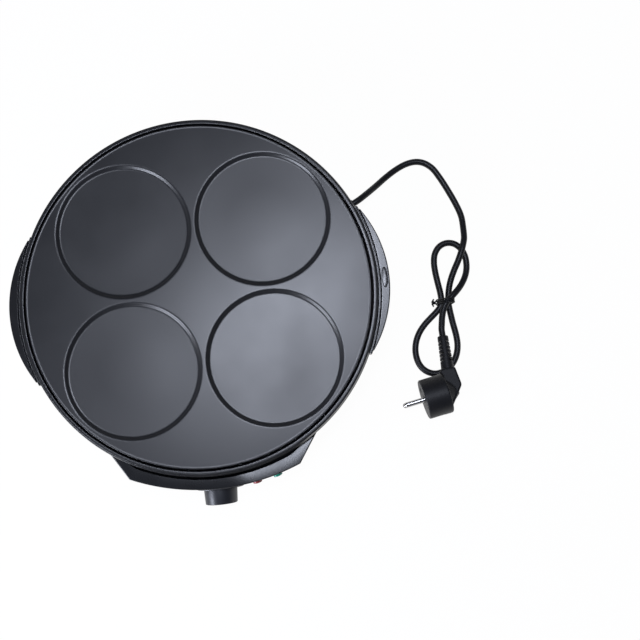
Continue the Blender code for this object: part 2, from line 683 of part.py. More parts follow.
for side, facing in HANDLE_SIDES.items():
    def build_seat(work):
        turned_start = Matrix.Rotation(facing - seat_turn, 4, "Z")
        corners = [work.verts.new(turned_start @ Vector((radius, 0, height))) for radius, height in seat_profile]
        face = work.faces.new(corners)
        bmesh.ops.spin(work, geom=[face] + corners + list(face.edges), cent=(0, 0, 0), axis=(0, 0, 1),
                       angle=2 * seat_turn, steps=SEAT_STEPS, use_duplicate=False)
        bmesh.ops.recalc_face_normals(work, faces=work.faces)
    seat = mesh_object(f"handle_seat_{side}", build_seat, cutter=True)
    boolean(body_shell, seat, "UNION")
for number in range(1, len(FOOT_ANGLES) + 1):
    boolean(body_shell, bpy.data.objects[f"foot_screw_hole_{number}"])
opening = box("panel_opening", (-PANEL_OPENING_WIDTH / 2, -shell_outer - OVERRUN, PANEL_OPENING_LOW),
              (PANEL_OPENING_WIDTH / 2, PANEL_OPENING_DEPTH - shell_outer, PANEL_OPENING_HIGH), cutter=True)
boolean(body_shell, opening)

# Side screws: the head sits inside the shell wall, the shank goes outwards through it
FRONT = -math.pi / 2
handle_screw_height = shell_high - HANDLE_SCREW_DROP


def side_screw(name, angle, height, length):
    head_face = shell_radius(height - SIDE_SCREW_HEAD_RADIUS, SHELL_WALL) * RING_FLAT_SHARE - GAP
    place = radial(angle, height)
    turned(name, [
        (0, head_face + length), (SIDE_SCREW_RADIUS, head_face + length), (SIDE_SCREW_RADIUS, head_face),
        (SIDE_SCREW_HEAD_RADIUS, head_face), (SIDE_SCREW_HEAD_RADIUS, head_face - SIDE_SCREW_HEAD_HEIGHT),
        (0, head_face - SIDE_SCREW_HEAD_HEIGHT)], SMALL_STEPS, closed=False, frame=place, material=steel)
    hole = rod(name + "_hole", SIDE_SCREW_RADIUS + GAP, head_face - OVERRUN, head_face + length + GAP,
               frame=place, cutter=True)
    boolean(body_shell, hole)
    return hole


panel_holes = [side_screw(f"panel_screw_{side}", FRONT + turn, PANEL_SCREW_HEIGHT, PANEL_SCREW_LENGTH)
               for side, turn in (("left", -PANEL_SCREW_ANGLE), ("right", PANEL_SCREW_ANGLE))]

# Handles: crescent hoods, hollow from below, on the seats
pocket_inner = handle_inner + HANDLE_WALL
pocket_radius = HANDLE_ARC_RADIUS - HANDLE_WALL
pocket_turn = handle_turn(pocket_inner + HANDLE_POCKET_END, pocket_radius)
handle_screw_turn = HANDLE_SCREW_SHARE * handle_end_turn


def handle_reach_at(angle, radius):
    """Distance from the axis to the handle's outer arc of the given radius, at an angle."""
    return handle_centre * math.cos(angle) + math.sqrt(radius ** 2 - (handle_centre * math.sin(angle)) ** 2)


def crescent(inner, outer_radius, half_angle):
    turns = [half_angle * (2 * step / HANDLE_STEPS - 1) for step in range(HANDLE_STEPS + 1)]
    outside = [(handle_reach_at(turn, outer_radius), turn) for turn in turns]
    inside = [(inner, turn) for turn in reversed(turns)]
    return [(radius * math.cos(turn), radius * math.sin(turn)) for radius, turn in outside + inside]


handle_low = seat_high - HANDLE_HEIGHT
for side, facing in HANDLE_SIDES.items():
    turned_to = Matrix.Rotation(facing, 4, "Z")
    handle = extruded(f"handle_{side}", crescent(handle_inner, HANDLE_ARC_RADIUS, handle_end_turn),
                      handle_low, seat_high, turned_to, material=black_plastic)
    rounded_where(handle, min(HANDLE_ROUND, HANDLE_WALL), lambda end: end.xy.length > handle_inner + GAP)
    pocket = extruded(f"handle_pocket_{side}", crescent(pocket_inner, pocket_radius, pocket_turn),
                      handle_low - OVERRUN, seat_high - HANDLE_ROOF, turned_to, cutter=True)
    boolean(handle, pocket)
    for end, turn in (("front", -handle_screw_turn), ("rear", handle_screw_turn)):
        boolean(handle, side_screw(f"handle_screw_{side}_{end}", facing + turn, handle_screw_height,
                                   HANDLE_SCREW_LENGTH))

# Oval plug in the top of the right handle
cap_centre = handle_outer - CAP_INSET


def oval(grow):
    turns = [2 * math.pi * step / CAP_STEPS for step in range(CAP_STEPS)]
    return [(cap_centre + (CAP_WIDTH / 2 + grow) * math.cos(turn), (CAP_LENGTH / 2 + grow) * math.sin(turn))
            for turn in turns]


cap_slot = extruded("handle_cap_recess", oval(GAP), seat_high - CAP_DEPTH, seat_high + OVERRUN, cutter=True)
boolean(bpy.data.objects["handle_right"], cap_slot)
extruded("handle_cap_right", oval(0.0), seat_high - CAP_DEPTH + GAP, seat_high, material=black_plastic)

# Rim ring, its lip over the shell's edge and its ledge under the plate's skirt
crease_radius = ring_inner + RING_CREASE
crease_high = ring_high - RING_CREASE_DEPTH
spigot_low = ring_low - RING_SPIGOT
ledge_high = spigot_low + RING_LEDGE_THICKNESS
turned("rim_ring", [
    (ring_inner, ring_high - RING_INNER_ROUND), (ring_inner + RING_INNER_ROUND, ring_high),
    (crease_radius - RING_INNER_ROUND, ring_high), (crease_radius, crease_high),
    (ring_outer - RING_SHOULDER, ring_high - RING_SHOULDER_DROP),
    (ring_outer, ring_high - RING_FLANK_DROP), (ring_outer, ring_low), (spigot_outer, ring_low),
    (spigot_outer, spigot_low), (ring_inner - RING_LEDGE, spigot_low), (ring_inner - RING_LEDGE, ledge_high),
    (ring_inner, ledge_high)], RING_STEPS, material=black_plastic)

# Cooking plate: a cast disc with a skirt, and four wells cut into its top
skirt_inner = PLATE_RADIUS - PLATE_SKIRT_WALL
plate_edge = [(PLATE_RADIUS - PLATE_EDGE_ROUND * (1 - across), plate_high - PLATE_EDGE_ROUND * (1 - up))
              for across, up in ROUND_SHARES]
cooking_plate = turned(
    "cooking_plate", [(0, plate_high)] + plate_edge + [
        (PLATE_RADIUS, ledge_high + GAP), (skirt_inner, ledge_high + GAP),
        (skirt_inner, plate_low), (0, plate_low)], RING_STEPS, closed=False, material=non_stick)
well_floor = plate_high - WELL_DEPTH
mouth_radius = well_edge - WELL_FILLET
floor_radius = mouth_radius - WELL_SLOPE
for number, (across, back) in enumerate(((-1, 1), (1, 1), (-1, -1), (1, -1)), 1):
    well = turned(f"well_{number}", [
        (0, plate_high + OVERRUN), (well_edge + OVERRUN, plate_high + OVERRUN),
        (well_edge, plate_high), (mouth_radius, plate_high - WELL_FILLET / 2),
        (floor_radius, well_floor + WELL_FILLET / 2), (floor_radius - WELL_FILLET, well_floor), (0, well_floor)],
        WELL_STEPS, closed=False, cutter=True,
        frame=Matrix.Translation((across * well_offset, back * well_offset, 0)))
    boolean(cooking_plate, well)

# Posts from the shell's flange to the plate, with a shoulder for the heat shield
for number, angle in enumerate(POST_ANGLES, 1):
    turned(f"plate_post_{number}", [
        (0, plate_low - GAP), (POST_NECK_RADIUS, plate_low - GAP), (POST_NECK_RADIUS, POST_SHOULDER_HEIGHT),
        (POST_RADIUS, POST_SHOULDER_HEIGHT), (POST_RADIUS, flange_high + GAP), (0, flange_high + GAP)],
        SMALL_STEPS, closed=False, frame=around(angle, post_circle), material=steel)
shield_low = POST_SHOULDER_HEIGHT + GAP
shield_high = shield_low + SHIELD_SHEET
heat_shield = turned("heat_shield", [
    (SHIELD_HOLE_RADIUS, shield_high), (shield_radius - SHIELD_RIM_SLOPE - SHIELD_SHEET, shield_high),
    (shield_radius - SHIELD_SHEET, shield_low + SHIELD_RIM_HEIGHT), (shield_radius, shield_low + SHIELD_RIM_HEIGHT),
    (shield_radius - SHIELD_RIM_SLOPE, shield_low), (SHIELD_HOLE_RADIUS, shield_low)], KNOB_STEPS,
    material=steel)
for number, angle in enumerate(POST_ANGLES, 1):
    boolean(heat_shield, rod(f"shield_post_hole_{number}", POST_NECK_RADIUS + GAP, shield_low - OVERRUN,
                             shield_high + OVERRUN, frame=around(angle, post_circle), cutter=True))

# Heating element: a tube bent to a ring, its two cold ends turned down at the rear
element_height = plate_low - GAP - ELEMENT_RADIUS
REAR = math.pi / 2
leg_low = element_height - ELEMENT_BEND_RADIUS - ELEMENT_LEG


def element_end(side):
    """From the pin's tip up to the ring, at one side of the rear gap."""
    turn = REAR + side * ELEMENT_GAP_ANGLE / 2
    along = Vector((-math.sin(turn), math.cos(turn), 0)) * side
    foot = Vector((math.cos(turn), math.sin(turn), 0)) * element_ring
    heights = [leg_low, leg_low + ELEMENT_PIN_LENGTH, leg_low + ELEMENT_PIN_LENGTH + ELEMENT_RADIUS / 2]
    points = [foot + Vector((0, 0, height)) for height in heights]
    for step in range(ELEMENT_BEND_STEPS + 1):
        bend = math.pi / 2 * step / ELEMENT_BEND_STEPS
        rise = element_height - ELEMENT_BEND_RADIUS * (1 - math.sin(bend))
        points.append(foot + along * ELEMENT_BEND_RADIUS * (1 - math.cos(bend)) + Vector((0, 0, rise)))
    return points


bend_turn = ELEMENT_BEND_RADIUS / element_ring
ring_start = REAR + ELEMENT_GAP_ANGLE / 2 + bend_turn
ring_sweep = 2 * math.pi - ELEMENT_GAP_ANGLE - 2 * bend_turn
ring_points = [
    Vector((math.cos(turn) * element_ring, math.sin(turn) * element_ring, element_height))
    for turn in (ring_start + ring_sweep * step / ELEMENT_RING_STEPS for step in range(1, ELEMENT_RING_STEPS))]
element_points = element_end(1) + ring_points + element_end(-1)[::-1]
element_shares = [1.0] * len(element_points)
element_shares[0] = element_shares[1] = element_shares[-1] = element_shares[-2] = ELEMENT_PIN_SHARE
tube("heating_element", element_points, ELEMENT_RADIUS, 1, element_shares, element_steel)
for number, side in enumerate((1, -1), 1):
    turn = REAR + side * ELEMENT_GAP_ANGLE / 2
    hole = rod(f"shield_element_hole_{number}", ELEMENT_RADIUS + ELEMENT_SLOT_MARGIN, shield_low - OVERRUN,
               shield_high + OVERRUN, frame=around(turn, element_ring), cutter=True)
    boolean(heat_shield, hole)

# Straps that press the element against the plate
strap_high = plate_low - GAP
hug = ELEMENT_RADIUS + GAP
strap_bottom = element_height - hug
strap_outline = [
    (-STRAP_REACH, strap_high), (-STRAP_REACH, strap_high - STRAP_THICKNESS),
    (-hug - STRAP_THICKNESS, strap_high - STRAP_THICKNESS), (-hug - STRAP_THICKNESS, strap_bottom - STRAP_THICKNESS),
    (hug + STRAP_THICKNESS, strap_bottom - STRAP_THICKNESS), (hug + STRAP_THICKNESS, strap_high - STRAP_THICKNESS),
    (STRAP_REACH, strap_high - STRAP_THICKNESS), (STRAP_REACH, strap_high), (hug, strap_high),
    (hug, strap_bottom), (-hug, strap_bottom), (-hug, strap_high)]
upright = Matrix.Rotation(math.pi / 2, 4, "X")
for number, angle in enumerate(STRAP_ANGLES, 1):
    extruded(f"element_strap_{number}", strap_outline, -STRAP_WIDTH / 2, STRAP_WIDTH / 2,
             around(angle, element_ring) @ upright, material=steel)

# Thermal fuse lying against the plate
fuse_frame = (Matrix.Translation((0, element_ring - FUSE_INSET, plate_low - GAP - FUSE_RADIUS))
              @ Matrix.Rotation(math.pi / 2, 4, "Y"))
fuse_half = FUSE_LENGTH / 2
fuse_end = fuse_half + FUSE_LEAD_LENGTH
turned("thermal_fuse", [
    (0, fuse_end), (FUSE_LEAD_RADIUS, fuse_end), (FUSE_LEAD_RADIUS, fuse_half), (FUSE_RADIUS, fuse_half),
    (FUSE_RADIUS, -fuse_half), (FUSE_LEAD_RADIUS, -fuse_half), (FUSE_LEAD_RADIUS, -fuse_end), (0, -fuse_end)],
    SMALL_STEPS, closed=False, frame=fuse_frame, material=ceramic)

# Control panel: a hollow moulding that hugs the shell
def panel_outline(inset, root):
    """The panel seen from above, its walls moved inwards by inset, back to the radius root."""
    corner = Vector((math.sin(PANEL_OUTER_ANGLE), -math.cos(PANEL_OUTER_ANGLE))) * panel_outer
    along = Vector((math.sin(PANEL_SIDE_ANGLE), math.cos(PANEL_SIDE_ANGLE)))
    start = corner + Vector((-along.y, along.x)) * inset
    offset = start.dot(along)

    def side_angle(radius):
        place = start - along * (offset + math.sqrt(offset ** 2 - start.length_squared + radius ** 2))
        return math.atan2(place.x, -place.y)

    reach = panel_outer - inset
    outer_turn, root_turn = side_angle(reach), side_angle(root)
    return (arc(0, reach, FRONT - outer_turn, FRONT + outer_turn, PANEL_STEPS)
            + arc(0, root, FRONT + root_turn, FRONT - root_turn, PANEL_STEPS))


panel_root = shell_outer - PANEL_DEPTH
front_panel = extruded("front_panel", panel_outline(0.0, panel_root), panel_low, panel_high, material=black_plastic)
rounded(front_panel, PANEL_EDGE_ROUND, 2, math.radians(50))
pad_low = math.sqrt(panel_outer ** 2 - PAD_RADIUS ** 2) - PAD_SINK
pad = rod("dial_pad", PAD_RADIUS, pad_low, pad_face, ROUND_STEPS, radial(FRONT, KNOB_HEIGHT),
          cutter=True)
boolean(front_panel, pad, "UNION")
groove_radius = shell_outer + PANEL_GROOVE_WIDTH
groove_low = panel_high - PANEL_GROOVE_DEPTH
lower_cavity = extruded("panel_cavity_low", panel_outline(PANEL_WALL, panel_root - OVERRUN), panel_low + PANEL_WALL,
                        groove_low - PANEL_WALL, cutter=True)
boolean(front_panel, lower_cavity)
upper_cavity = extruded("panel_cavity_high", panel_outline(PANEL_WALL, groove_radius + PANEL_WALL),
                        groove_low - PANEL_WALL - OVERRUN, panel_high - PANEL_WALL, cutter=True)
boolean(front_panel, upper_cavity)
for number, side in enumerate((-1, 1), 1):
    post = rod(f"panel_screw_post_{number}", PANEL_POST_RADIUS, shell_outer - PANEL_DEPTH,
               panel_outer - PANEL_WALL / 2, frame=radial(FRONT + side * PANEL_SCREW_ANGLE, PANEL_SCREW_HEIGHT),
               cutter=True)
    boolean(front_panel, post, "UNION")
envelope = turned("shell_envelope", [
    (0, shell_high + OVERRUN), (groove_radius, shell_high + OVERRUN), (groove_radius, groove_low),
    (shell_outer + PANEL_FIT, groove_low)] + shell_profile(-PANEL_FIT)[1:] + [
        (shell_profile(-PANEL_FIT)[-1][0], 0), (0, 0)], RING_STEPS, closed=False, cutter=True)
boolean(front_panel, envelope)
for hole in panel_holes:
    boolean(front_panel, hole)
shaft_hole = rod("panel_shaft_hole", DIAL_HOLE_RADIUS, panel_outer - PANEL_WALL - OVERRUN, pad_face + OVERRUN,
                 frame=radial(FRONT, KNOB_HEIGHT), cutter=True)
boolean(front_panel, shaft_hole)

# Pilot lights: lens in the panel's front, sleeve and lamp behind it
lens_face = panel_outer + GAP
for colour, lens_material in (("red", red_lens), ("green", green_lens)):
    place = radial(FRONT + LIGHT_ANGLES[colour], LIGHT_HEIGHT)
    hole = rod(f"lens_hole_{colour}", LENS_STEM_RADIUS + GAP, panel_outer - PANEL_WALL - OVERRUN,
               panel_outer + OVERRUN, frame=place, cutter=True)
    boolean(front_panel, hole)
    dome = [(LENS_RADIUS * math.sin(turn), lens_face + LENS_FLANGE + (LENS_PROUD - LENS_FLANGE) * math.cos(turn))
            for turn in (math.pi / 2 * step / 4 for step in range(5))]
    turned(f"pilot_lens_{colour}", dome + [
        (LENS_FLANGE_RADIUS, lens_face + LENS_FLANGE), (LENS_FLANGE_RADIUS, lens_face),
        (LENS_STEM_RADIUS, lens_face), (LENS_STEM_RADIUS, lens_face - LENS_STEM), (0, lens_face - LENS_STEM)],
        SMALL_STEPS, closed=False, frame=place, material=lens_material)
    sleeve_high = panel_outer - PANEL_WALL - GAP
    sleeve_inner = LENS_STEM_RADIUS + GAP
    turned(f"lamp_sleeve_{colour}", [
        (sleeve_inner, sleeve_high), (sleeve_inner + SLEEVE_WALL, sleeve_high),
        (sleeve_inner + SLEEVE_WALL, sleeve_high - SLEEVE_LENGTH), (sleeve_inner, sleeve_high - SLEEVE_LENGTH)],
        SMALL_STEPS, frame=place, material=black_plastic)
    lamp_high = lens_face - LENS_STEM - GAP
    rod(f"neon_lamp_{colour}", LAMP_RADIUS, lamp_high - LAMP_LENGTH, lamp_high, frame=place, material=lamp_glass)

# Dial sheet on the pad
knob_frame = radial(FRONT, KNOB_HEIGHT)
turned("dial_plate", [
    (DIAL_HOLE_RADIUS, dial_face), (DIAL_RADIUS, dial_face), (DIAL_RADIUS, dial_back), (DIAL_HOLE_RADIUS, dial_back)],
    frame=knob_frame, material=dial_print)

# Knob and shaft turn together about the knob's axis
knob_axis = bpy.data.objects.new("knob_axis", None)
parts.objects.link(knob_axis)
knob_axis.parent = plate_axis
knob_axis.matrix_local = knob_frame
knob = turned("knob", [
    (0, knob_tip), (KNOB_TIP_RADIUS - KNOB_EDGE_ROUND, knob_tip), (KNOB_TIP_RADIUS, knob_tip - KNOB_EDGE_ROUND),
    (KNOB_RADIUS, knob_back), (0, knob_back)], KNOB_STEPS, closed=False, parent=knob_axis, material=knob_plastic)
bracket_face = bracket_reach + BRACKET_SHEET
block_back = bracket_face + GAP
block_front = block_back + THERMOSTAT_DEPTH
bush_tip = block_front + BUSH_LENGTH
shaft_low = bush_tip - BUSH_BORE_DEPTH + GAP
shaft_high = knob_back + KNOB_BORE_DEPTH - GAP


def key_outline(grow):
    """The shaft's round section with its flat."""
    half = math.acos((SHAFT_FLAT + grow) / (SHAFT_RADIUS + grow))
    return arc(0, SHAFT_RADIUS + grow, half, 2 * math.pi - half, SMALL_STEPS)


knob_bore = extruded("knob_bore", key_outline(GAP), knob_back - OVERRUN, knob_back + KNOB_BORE_DEPTH,
                     cutter=True, parent=knob_axis)
boolean(knob, knob_bore)
pointer = box("pointer_groove", (POINTER_START, -POINTER_WIDTH / 2, knob_tip - POINTER_DEPTH),
              (KNOB_RADIUS + OVERRUN, POINTER_WIDTH / 2, knob_tip + OVERRUN),
              Matrix.Rotation(math.pi - POINTER_REST_ANGLE, 4, "Z"), cutter=True, parent=knob_axis)
boolean(knob, pointer)
shaft = rod("thermostat_shaft", SHAFT_RADIUS, shaft_low, shaft_high, SMALL_STEPS, parent=knob_axis, material=steel)
flat_cut = box("shaft_flat", (SHAFT_FLAT, -SHAFT_RADIUS - OVERRUN, shaft_high - SHAFT_FLAT_LENGTH),
               (SHAFT_RADIUS + OVERRUN, SHAFT_RADIUS + OVERRUN, shaft_high + OVERRUN), cutter=True, parent=knob_axis)
boolean(shaft, flat_cut)

# Thermostat: ceramic block on a bracket that hangs from the plate
half_width = THERMOSTAT_WIDTH / 2
thermostat = box("thermostat_body", (-THERMOSTAT_HEIGHT / 2, -half_width, block_back),
                 (THERMOSTAT_HEIGHT / 2, half_width, block_front), knob_frame, material=ceramic)
rounded(thermostat, THERMOSTAT_EDGE, 1)
bush = rod("thermostat_bush", BUSH_RADIUS, block_front - OVERRUN, bush_tip, frame=knob_frame, cutter=True)
boolean(thermostat, bush, "UNION")
bush_bore = rod("thermostat_bore", SHAFT_RADIUS + GAP, shaft_low - GAP, bush_tip + OVERRUN, frame=knob_frame,
                cutter=True)
boolean(thermostat, bush_bore)
bracket_high = plate_low - GAP
bracket_low = KNOB_HEIGHT - THERMOSTAT_HEIGHT / 2 - BRACKET_TAIL + GAP
bracket_start = element_ring + STRAP_REACH + BRACKET_STRAP_GAP
sideways = Matrix.Rotation(math.pi / 2, 4, "Z") @ Matrix.Rotation(math.pi / 2, 4, "X")
extruded("thermostat_bracket", [
    (-bracket_start, bracket_high), (-bracket_face, bracket_high), (-bracket_face, bracket_low),
    (-bracket_reach, bracket_low), (-bracket_reach, bracket_high - BRACKET_SHEET),
    (-bracket_start, bracket_high - BRACKET_SHEET)],
    -BRACKET_WIDTH / 2, BRACKET_WIDTH / 2, sideways, material=steel)

# Terminal block on the shell's flange, in line with the cord
block_frame = around(CORD_ANGLE, block_circle)
block_low = flange_high + GAP
terminal_block = box("terminal_block", (-BLOCK_WIDTH / 2, -BLOCK_LENGTH / 2, block_low),
                     (BLOCK_WIDTH / 2, BLOCK_LENGTH / 2, block_low + BLOCK_HEIGHT), block_frame, material=ceramic)
for number in (-1, 0, 1):
    boolean(terminal_block, rod(f"terminal_screw_{number + 2}", BLOCK_SCREW_RADIUS,
                                block_low + BLOCK_HEIGHT - BLOCK_SCREW_DEPTH, block_low + BLOCK_HEIGHT + OVERRUN,
                                frame=block_frame @ Matrix.Translation((0, number * BLOCK_SCREW_PITCH, 0)),
                                cutter=True))

# Strain relief through the shell wall
relief_wall = shell_radius(RELIEF_HEIGHT)
relief_inner = relief_wall - SHELL_WALL - RELIEF_INSIDE
relief_tip = relief_wall + RELIEF_OUTSIDE
flange_start = relief_wall + RELIEF_FLANGE_OFFSET
relief_frame = radial(CORD_ANGLE, RELIEF_HEIGHT)
turned("strain_relief", [
    (0, relief_tip), (RELIEF_TIP_RADIUS, relief_tip), (RELIEF_NECK_RADIUS, flange_start + RELIEF_FLANGE),
    (RELIEF_FLANGE_RADIUS, flange_start + RELIEF_FLANGE), (RELIEF_FLANGE_RADIUS, flange_start),
    (RELIEF_NECK_RADIUS, flange_start), (RELIEF_NECK_RADIUS, relief_inner + RELIEF_COLLAR),
    (RELIEF_COLLAR_RADIUS, relief_inner + RELIEF_COLLAR), (RELIEF_COLLAR_RADIUS, relief_inner), (0, relief_inner)],
    SMALL_STEPS, closed=False, frame=relief_frame, material=black_rubber)
relief_hole = rod("relief_hole", RELIEF_NECK_RADIUS + GAP, relief_inner, relief_tip, frame=relief_frame, cutter=True)
boolean(body_shell, relief_hole)

# Earth lug round the foot of the first post
lug_frame = around(POST_ANGLES[0], post_circle)
lug_low = flange_high + GAP
turned("earth_lug", [
    (POST_RADIUS + GAP, lug_low + LUG_SHEET), (LUG_RADIUS, lug_low + LUG_SHEET), (LUG_RADIUS, lug_low),
    (POST_RADIUS + GAP, lug_low)], SMALL_STEPS, frame=lug_frame, material=steel)

# Wires inside the body, each round the axis at its own radius between its two ends


def wire(name, start, start_way, end, end_way, first, last, radius, height, material):
    start, end = Vector(start), Vector(end)
    turns = [first + (last - first) * number / 6 for number in range(7)]
    middle = [Vector((math.cos(turn) * radius, math.sin(turn) * radius, height)) for turn in turns]
    points = ([start, start + Vector(start_way) * WIRE_END_RUN] + middle
              + [end + Vector(end_way) * WIRE_END_RUN, end])
    tube(name, route(points, WIRE_STEP), WIRE_RADIUS, 1, material=material)


inwards = block_frame.to_3x3() @ Vector((-1, 0, 0))
sidewards = block_frame.to_3x3() @ Vector((0, 1, 0))
terminal_height = block_low + BLOCK_HEIGHT / 2
live_terminal = block_frame @ Vector((-BLOCK_WIDTH / 2 - GAP, -BLOCK_SCREW_PITCH, terminal_height))
neutral_terminal = block_frame @ Vector((-BLOCK_WIDTH / 2 - GAP, 0, terminal_height))
earth_terminal = block_frame @ Vector((0, BLOCK_LENGTH / 2 + GAP, terminal_height))
contact = Vector((half_width + GAP, -(block_back + block_front) / 2, KNOB_HEIGHT))
pin_turn = ELEMENT_GAP_ANGLE / 2
element_contact = [
    Vector((math.cos(turn) * element_ring, math.sin(turn) * element_ring, leg_low - GAP))
    for turn in (REAR - pin_turn, REAR + pin_turn)]
wire("wire_live", live_terminal, inwards, contact, (1, 0, 0), math.radians(10), math.radians(-68),
     wire_run, WIRE_RUN_HEIGHT, wire_brown)
wire("wire_neutral", neutral_terminal, inwards, element_contact[0], (0, 0, -1), math.radians(40), math.radians(72),
     wire_run, WIRE_RUN_HEIGHT, wire_blue)
wire("wire_element", contact * Vector((-1, 1, 1)), (-1, 0, 0), element_contact[1], (0, 0, -1), math.radians(248),
     math.radians(108), wire_run, WIRE_RUN_HEIGHT, wire_brown)
lug_contact = Vector((LUG_RADIUS + GAP, post_circle, lug_low + WIRE_RADIUS))
wire("wire_earth", earth_terminal, sidewards, lug_contact, (1, 0, 0), math.radians(46), math.radians(76),
     earth_run, lug_low + WIRE_RADIUS, wire_yellow)

# Mains plug: round base, flat back that carries the cord's neck, low hump behind the pins
plug_place = Vector((*PLUG_FACE_CENTRE, 0)) * MM + Vector((0, 0, PLUG_RADIUS + PLUG_LIFT))
plug_frame = (Matrix.Translation(plug_place) @ Matrix.Rotation(PLUG_TURN, 4, "Z")
              @ Matrix.Rotation(math.pi / 2, 4, "Y") @ Matrix.Rotation(-PLUG_ROLL, 4, "Z"))
plug_body = turned("plug_body", [
    (0, PLUG_DEPTH), (PLUG_RADIUS - PLUG_EDGE_ROUND, PLUG_DEPTH), (PLUG_RADIUS, PLUG_DEPTH - PLUG_EDGE_ROUND),
    (PLUG_RADIUS, PLUG_EDGE_ROUND), (PLUG_RADIUS - PLUG_EDGE_ROUND, 0), (0, 0)],
    KNOB_STEPS, closed=False, frame=plug_frame, material=black_plastic)
back_low = PLUG_DEPTH - PLUG_BACK_ROOT
back_span = PLUG_BACK_RISE + PLUG_BACK_ROOT
plug_back = extruded("plug_back", [(side * PLUG_RADIUS, back_low + rise * back_span)
                                   for side, rise in PLUG_BACK_SHARES],
                     -PLUG_BACK_HALF, PLUG_BACK_HALF, plug_frame @ sideways, cutter=True)
rounded(plug_back, PLUG_BACK_ROUND)
boolean(plug_body, plug_back, "UNION")
hump = rod("plug_hump", PLUG_HUMP_RADIUS, PLUG_DEPTH - PLUG_BACK_ROOT, PLUG_DEPTH + PLUG_HUMP_RISE, ROUND_STEPS,
           frame=plug_frame, tip_radius=PLUG_HUMP_TIP_RADIUS, cutter=True)
boolean(plug_body, hump, "UNION")
neck_frame = (plug_frame @ Matrix.Translation((0, NECK_ROOT, PLUG_DEPTH + NECK_BACK))
              @ Matrix.Rotation(NECK_TURN - math.pi / 2, 4, "X"))
neck = rod("plug_neck", NECK_RADIUS, 0, NECK_LENGTH, frame=neck_frame, tip_radius=NECK_TIP_RADIUS, cutter=True)
boolean(plug_body, neck, "UNION")
for number in range(NECK_SLOT_COUNT):
    place = NECK_SLOT_START + number * NECK_SLOT_PITCH
    for name, near, far in (("left", -NECK_RADIUS - OVERRUN, -NECK_SPINE_HALF),
                            ("right", NECK_SPINE_HALF, NECK_RADIUS + OVERRUN)):
        slot = box(f"neck_slot_{name}_{number + 1}", (-NECK_RADIUS - OVERRUN, near, place),
                   (NECK_RADIUS + OVERRUN, far, place + NECK_SLOT_WIDTH), neck_frame, cutter=True)
        boolean(plug_body, slot)
earth_hole = rod("plug_earth_hole", EARTH_HOLE_RADIUS, -OVERRUN, EARTH_HOLE_DEPTH,
                 frame=plug_frame @ Matrix.Translation((0, EARTH_HOLE_OFFSET, 0)), cutter=True)
boolean(plug_body, earth_hole)
for number, side in enumerate((-1, 1), 1):
    pin_frame = plug_frame @ Matrix.Translation((side * PIN_SPACING / 2, 0, 0))
    boolean(plug_body, rod(f"plug_pin_bore_{number}", PIN_RADIUS + GAP, -OVERRUN, PIN_ROOT, frame=pin_frame,
                           cutter=True))
    turned(f"plug_pin_{number}", [
        (0, PIN_ROOT - GAP), (PIN_RADIUS, PIN_ROOT - GAP), (PIN_RADIUS, PIN_TIP_ROUND - PIN_LENGTH),
        (PIN_RADIUS / 2, -PIN_LENGTH), (0, -PIN_LENGTH)], SMALL_STEPS, closed=False, frame=pin_frame, material=nickel)
    groove_floor = PLUG_RADIUS - EARTH_GROOVE_DEPTH
    strip_frame = plug_frame @ Matrix.Rotation(side * math.pi / 2, 4, "Z")
    boolean(plug_body, box(f"plug_earth_groove_{number}", (groove_floor, -EARTH_GROOVE_WIDTH / 2, -OVERRUN),
                           (PLUG_RADIUS + OVERRUN, EARTH_GROOVE_WIDTH / 2, EARTH_GROOVE_LENGTH), strip_frame,
                           cutter=True))
    box(f"plug_earth_strip_{number}", (groove_floor + GAP, GAP - EARTH_GROOVE_WIDTH / 2, 0),
        (groove_floor + GAP + EARTH_STRIP_THICKNESS, EARTH_GROOVE_WIDTH / 2 - GAP, EARTH_GROOVE_LENGTH - GAP),
        strip_frame, material=nickel)

# Cord: the lead from the relief to the joint, then the hank from there to the plug's neck
cord_run = 2 * CORD_RADIUS
relief_way = relief_frame.to_3x3() @ Vector((0, 0, 1))
lead_start = relief_frame @ Vector((0, 0, relief_tip + GAP))
joint = Vector(CORD_JOINT) * MM
joint_way = Vector(CORD_JOINT_RUN).normalized()
neck_way = neck_frame.to_3x3() @ Vector((0, 0, 1))
hank_end = neck_frame @ Vector((0, 0, NECK_LENGTH + GAP))
lead_points = route(
    [lead_start, lead_start + relief_way * cord_run] + [Vector(place) * MM for place in LEAD_ROUTE]
    + [joint - joint_way * (cord_run + GAP / 2), joint - joint_way * GAP / 2], CORD_STEP)
hank_points = route(
    [joint + joint_way * GAP / 2, joint + joint_way * (cord_run + GAP / 2)]
    + [Vector(place) * MM for place in HANK_ROUTE] + [hank_end + neck_way * cord_run, hank_end], HANK_STEP)
tube("cord_lead", lead_points, CORD_RADIUS, 2, material=cord_pvc)
tube("cord_hank", hank_points, CORD_RADIUS, 1, material=cord_pvc)


def densely(points):
    """Points about half a radius apart along a route, each with its distance along it."""
    found, along = [], 0.0
    for start, end in zip(points, points[1:]):
        length = (end - start).length
        count = max(math.ceil(2 * length / CORD_RADIUS), 1)
        found += [(start.lerp(end, number / count), along + length * number / count) for number in range(count)]
        along += length
    return found + [(points[-1], along)]


whole_cord = densely(lead_points + hank_points)
self_gap = min((a - b).length for index, (a, near) in enumerate(whole_cord)
               for b, far in whole_cord[index:] if far - near > 5 * cord_run) - 2 * CORD_RADIUS
print(f"cord length {whole_cord[-1][1] / MM:.0f} mm, least gap to itself {self_gap / MM:.2f} mm")

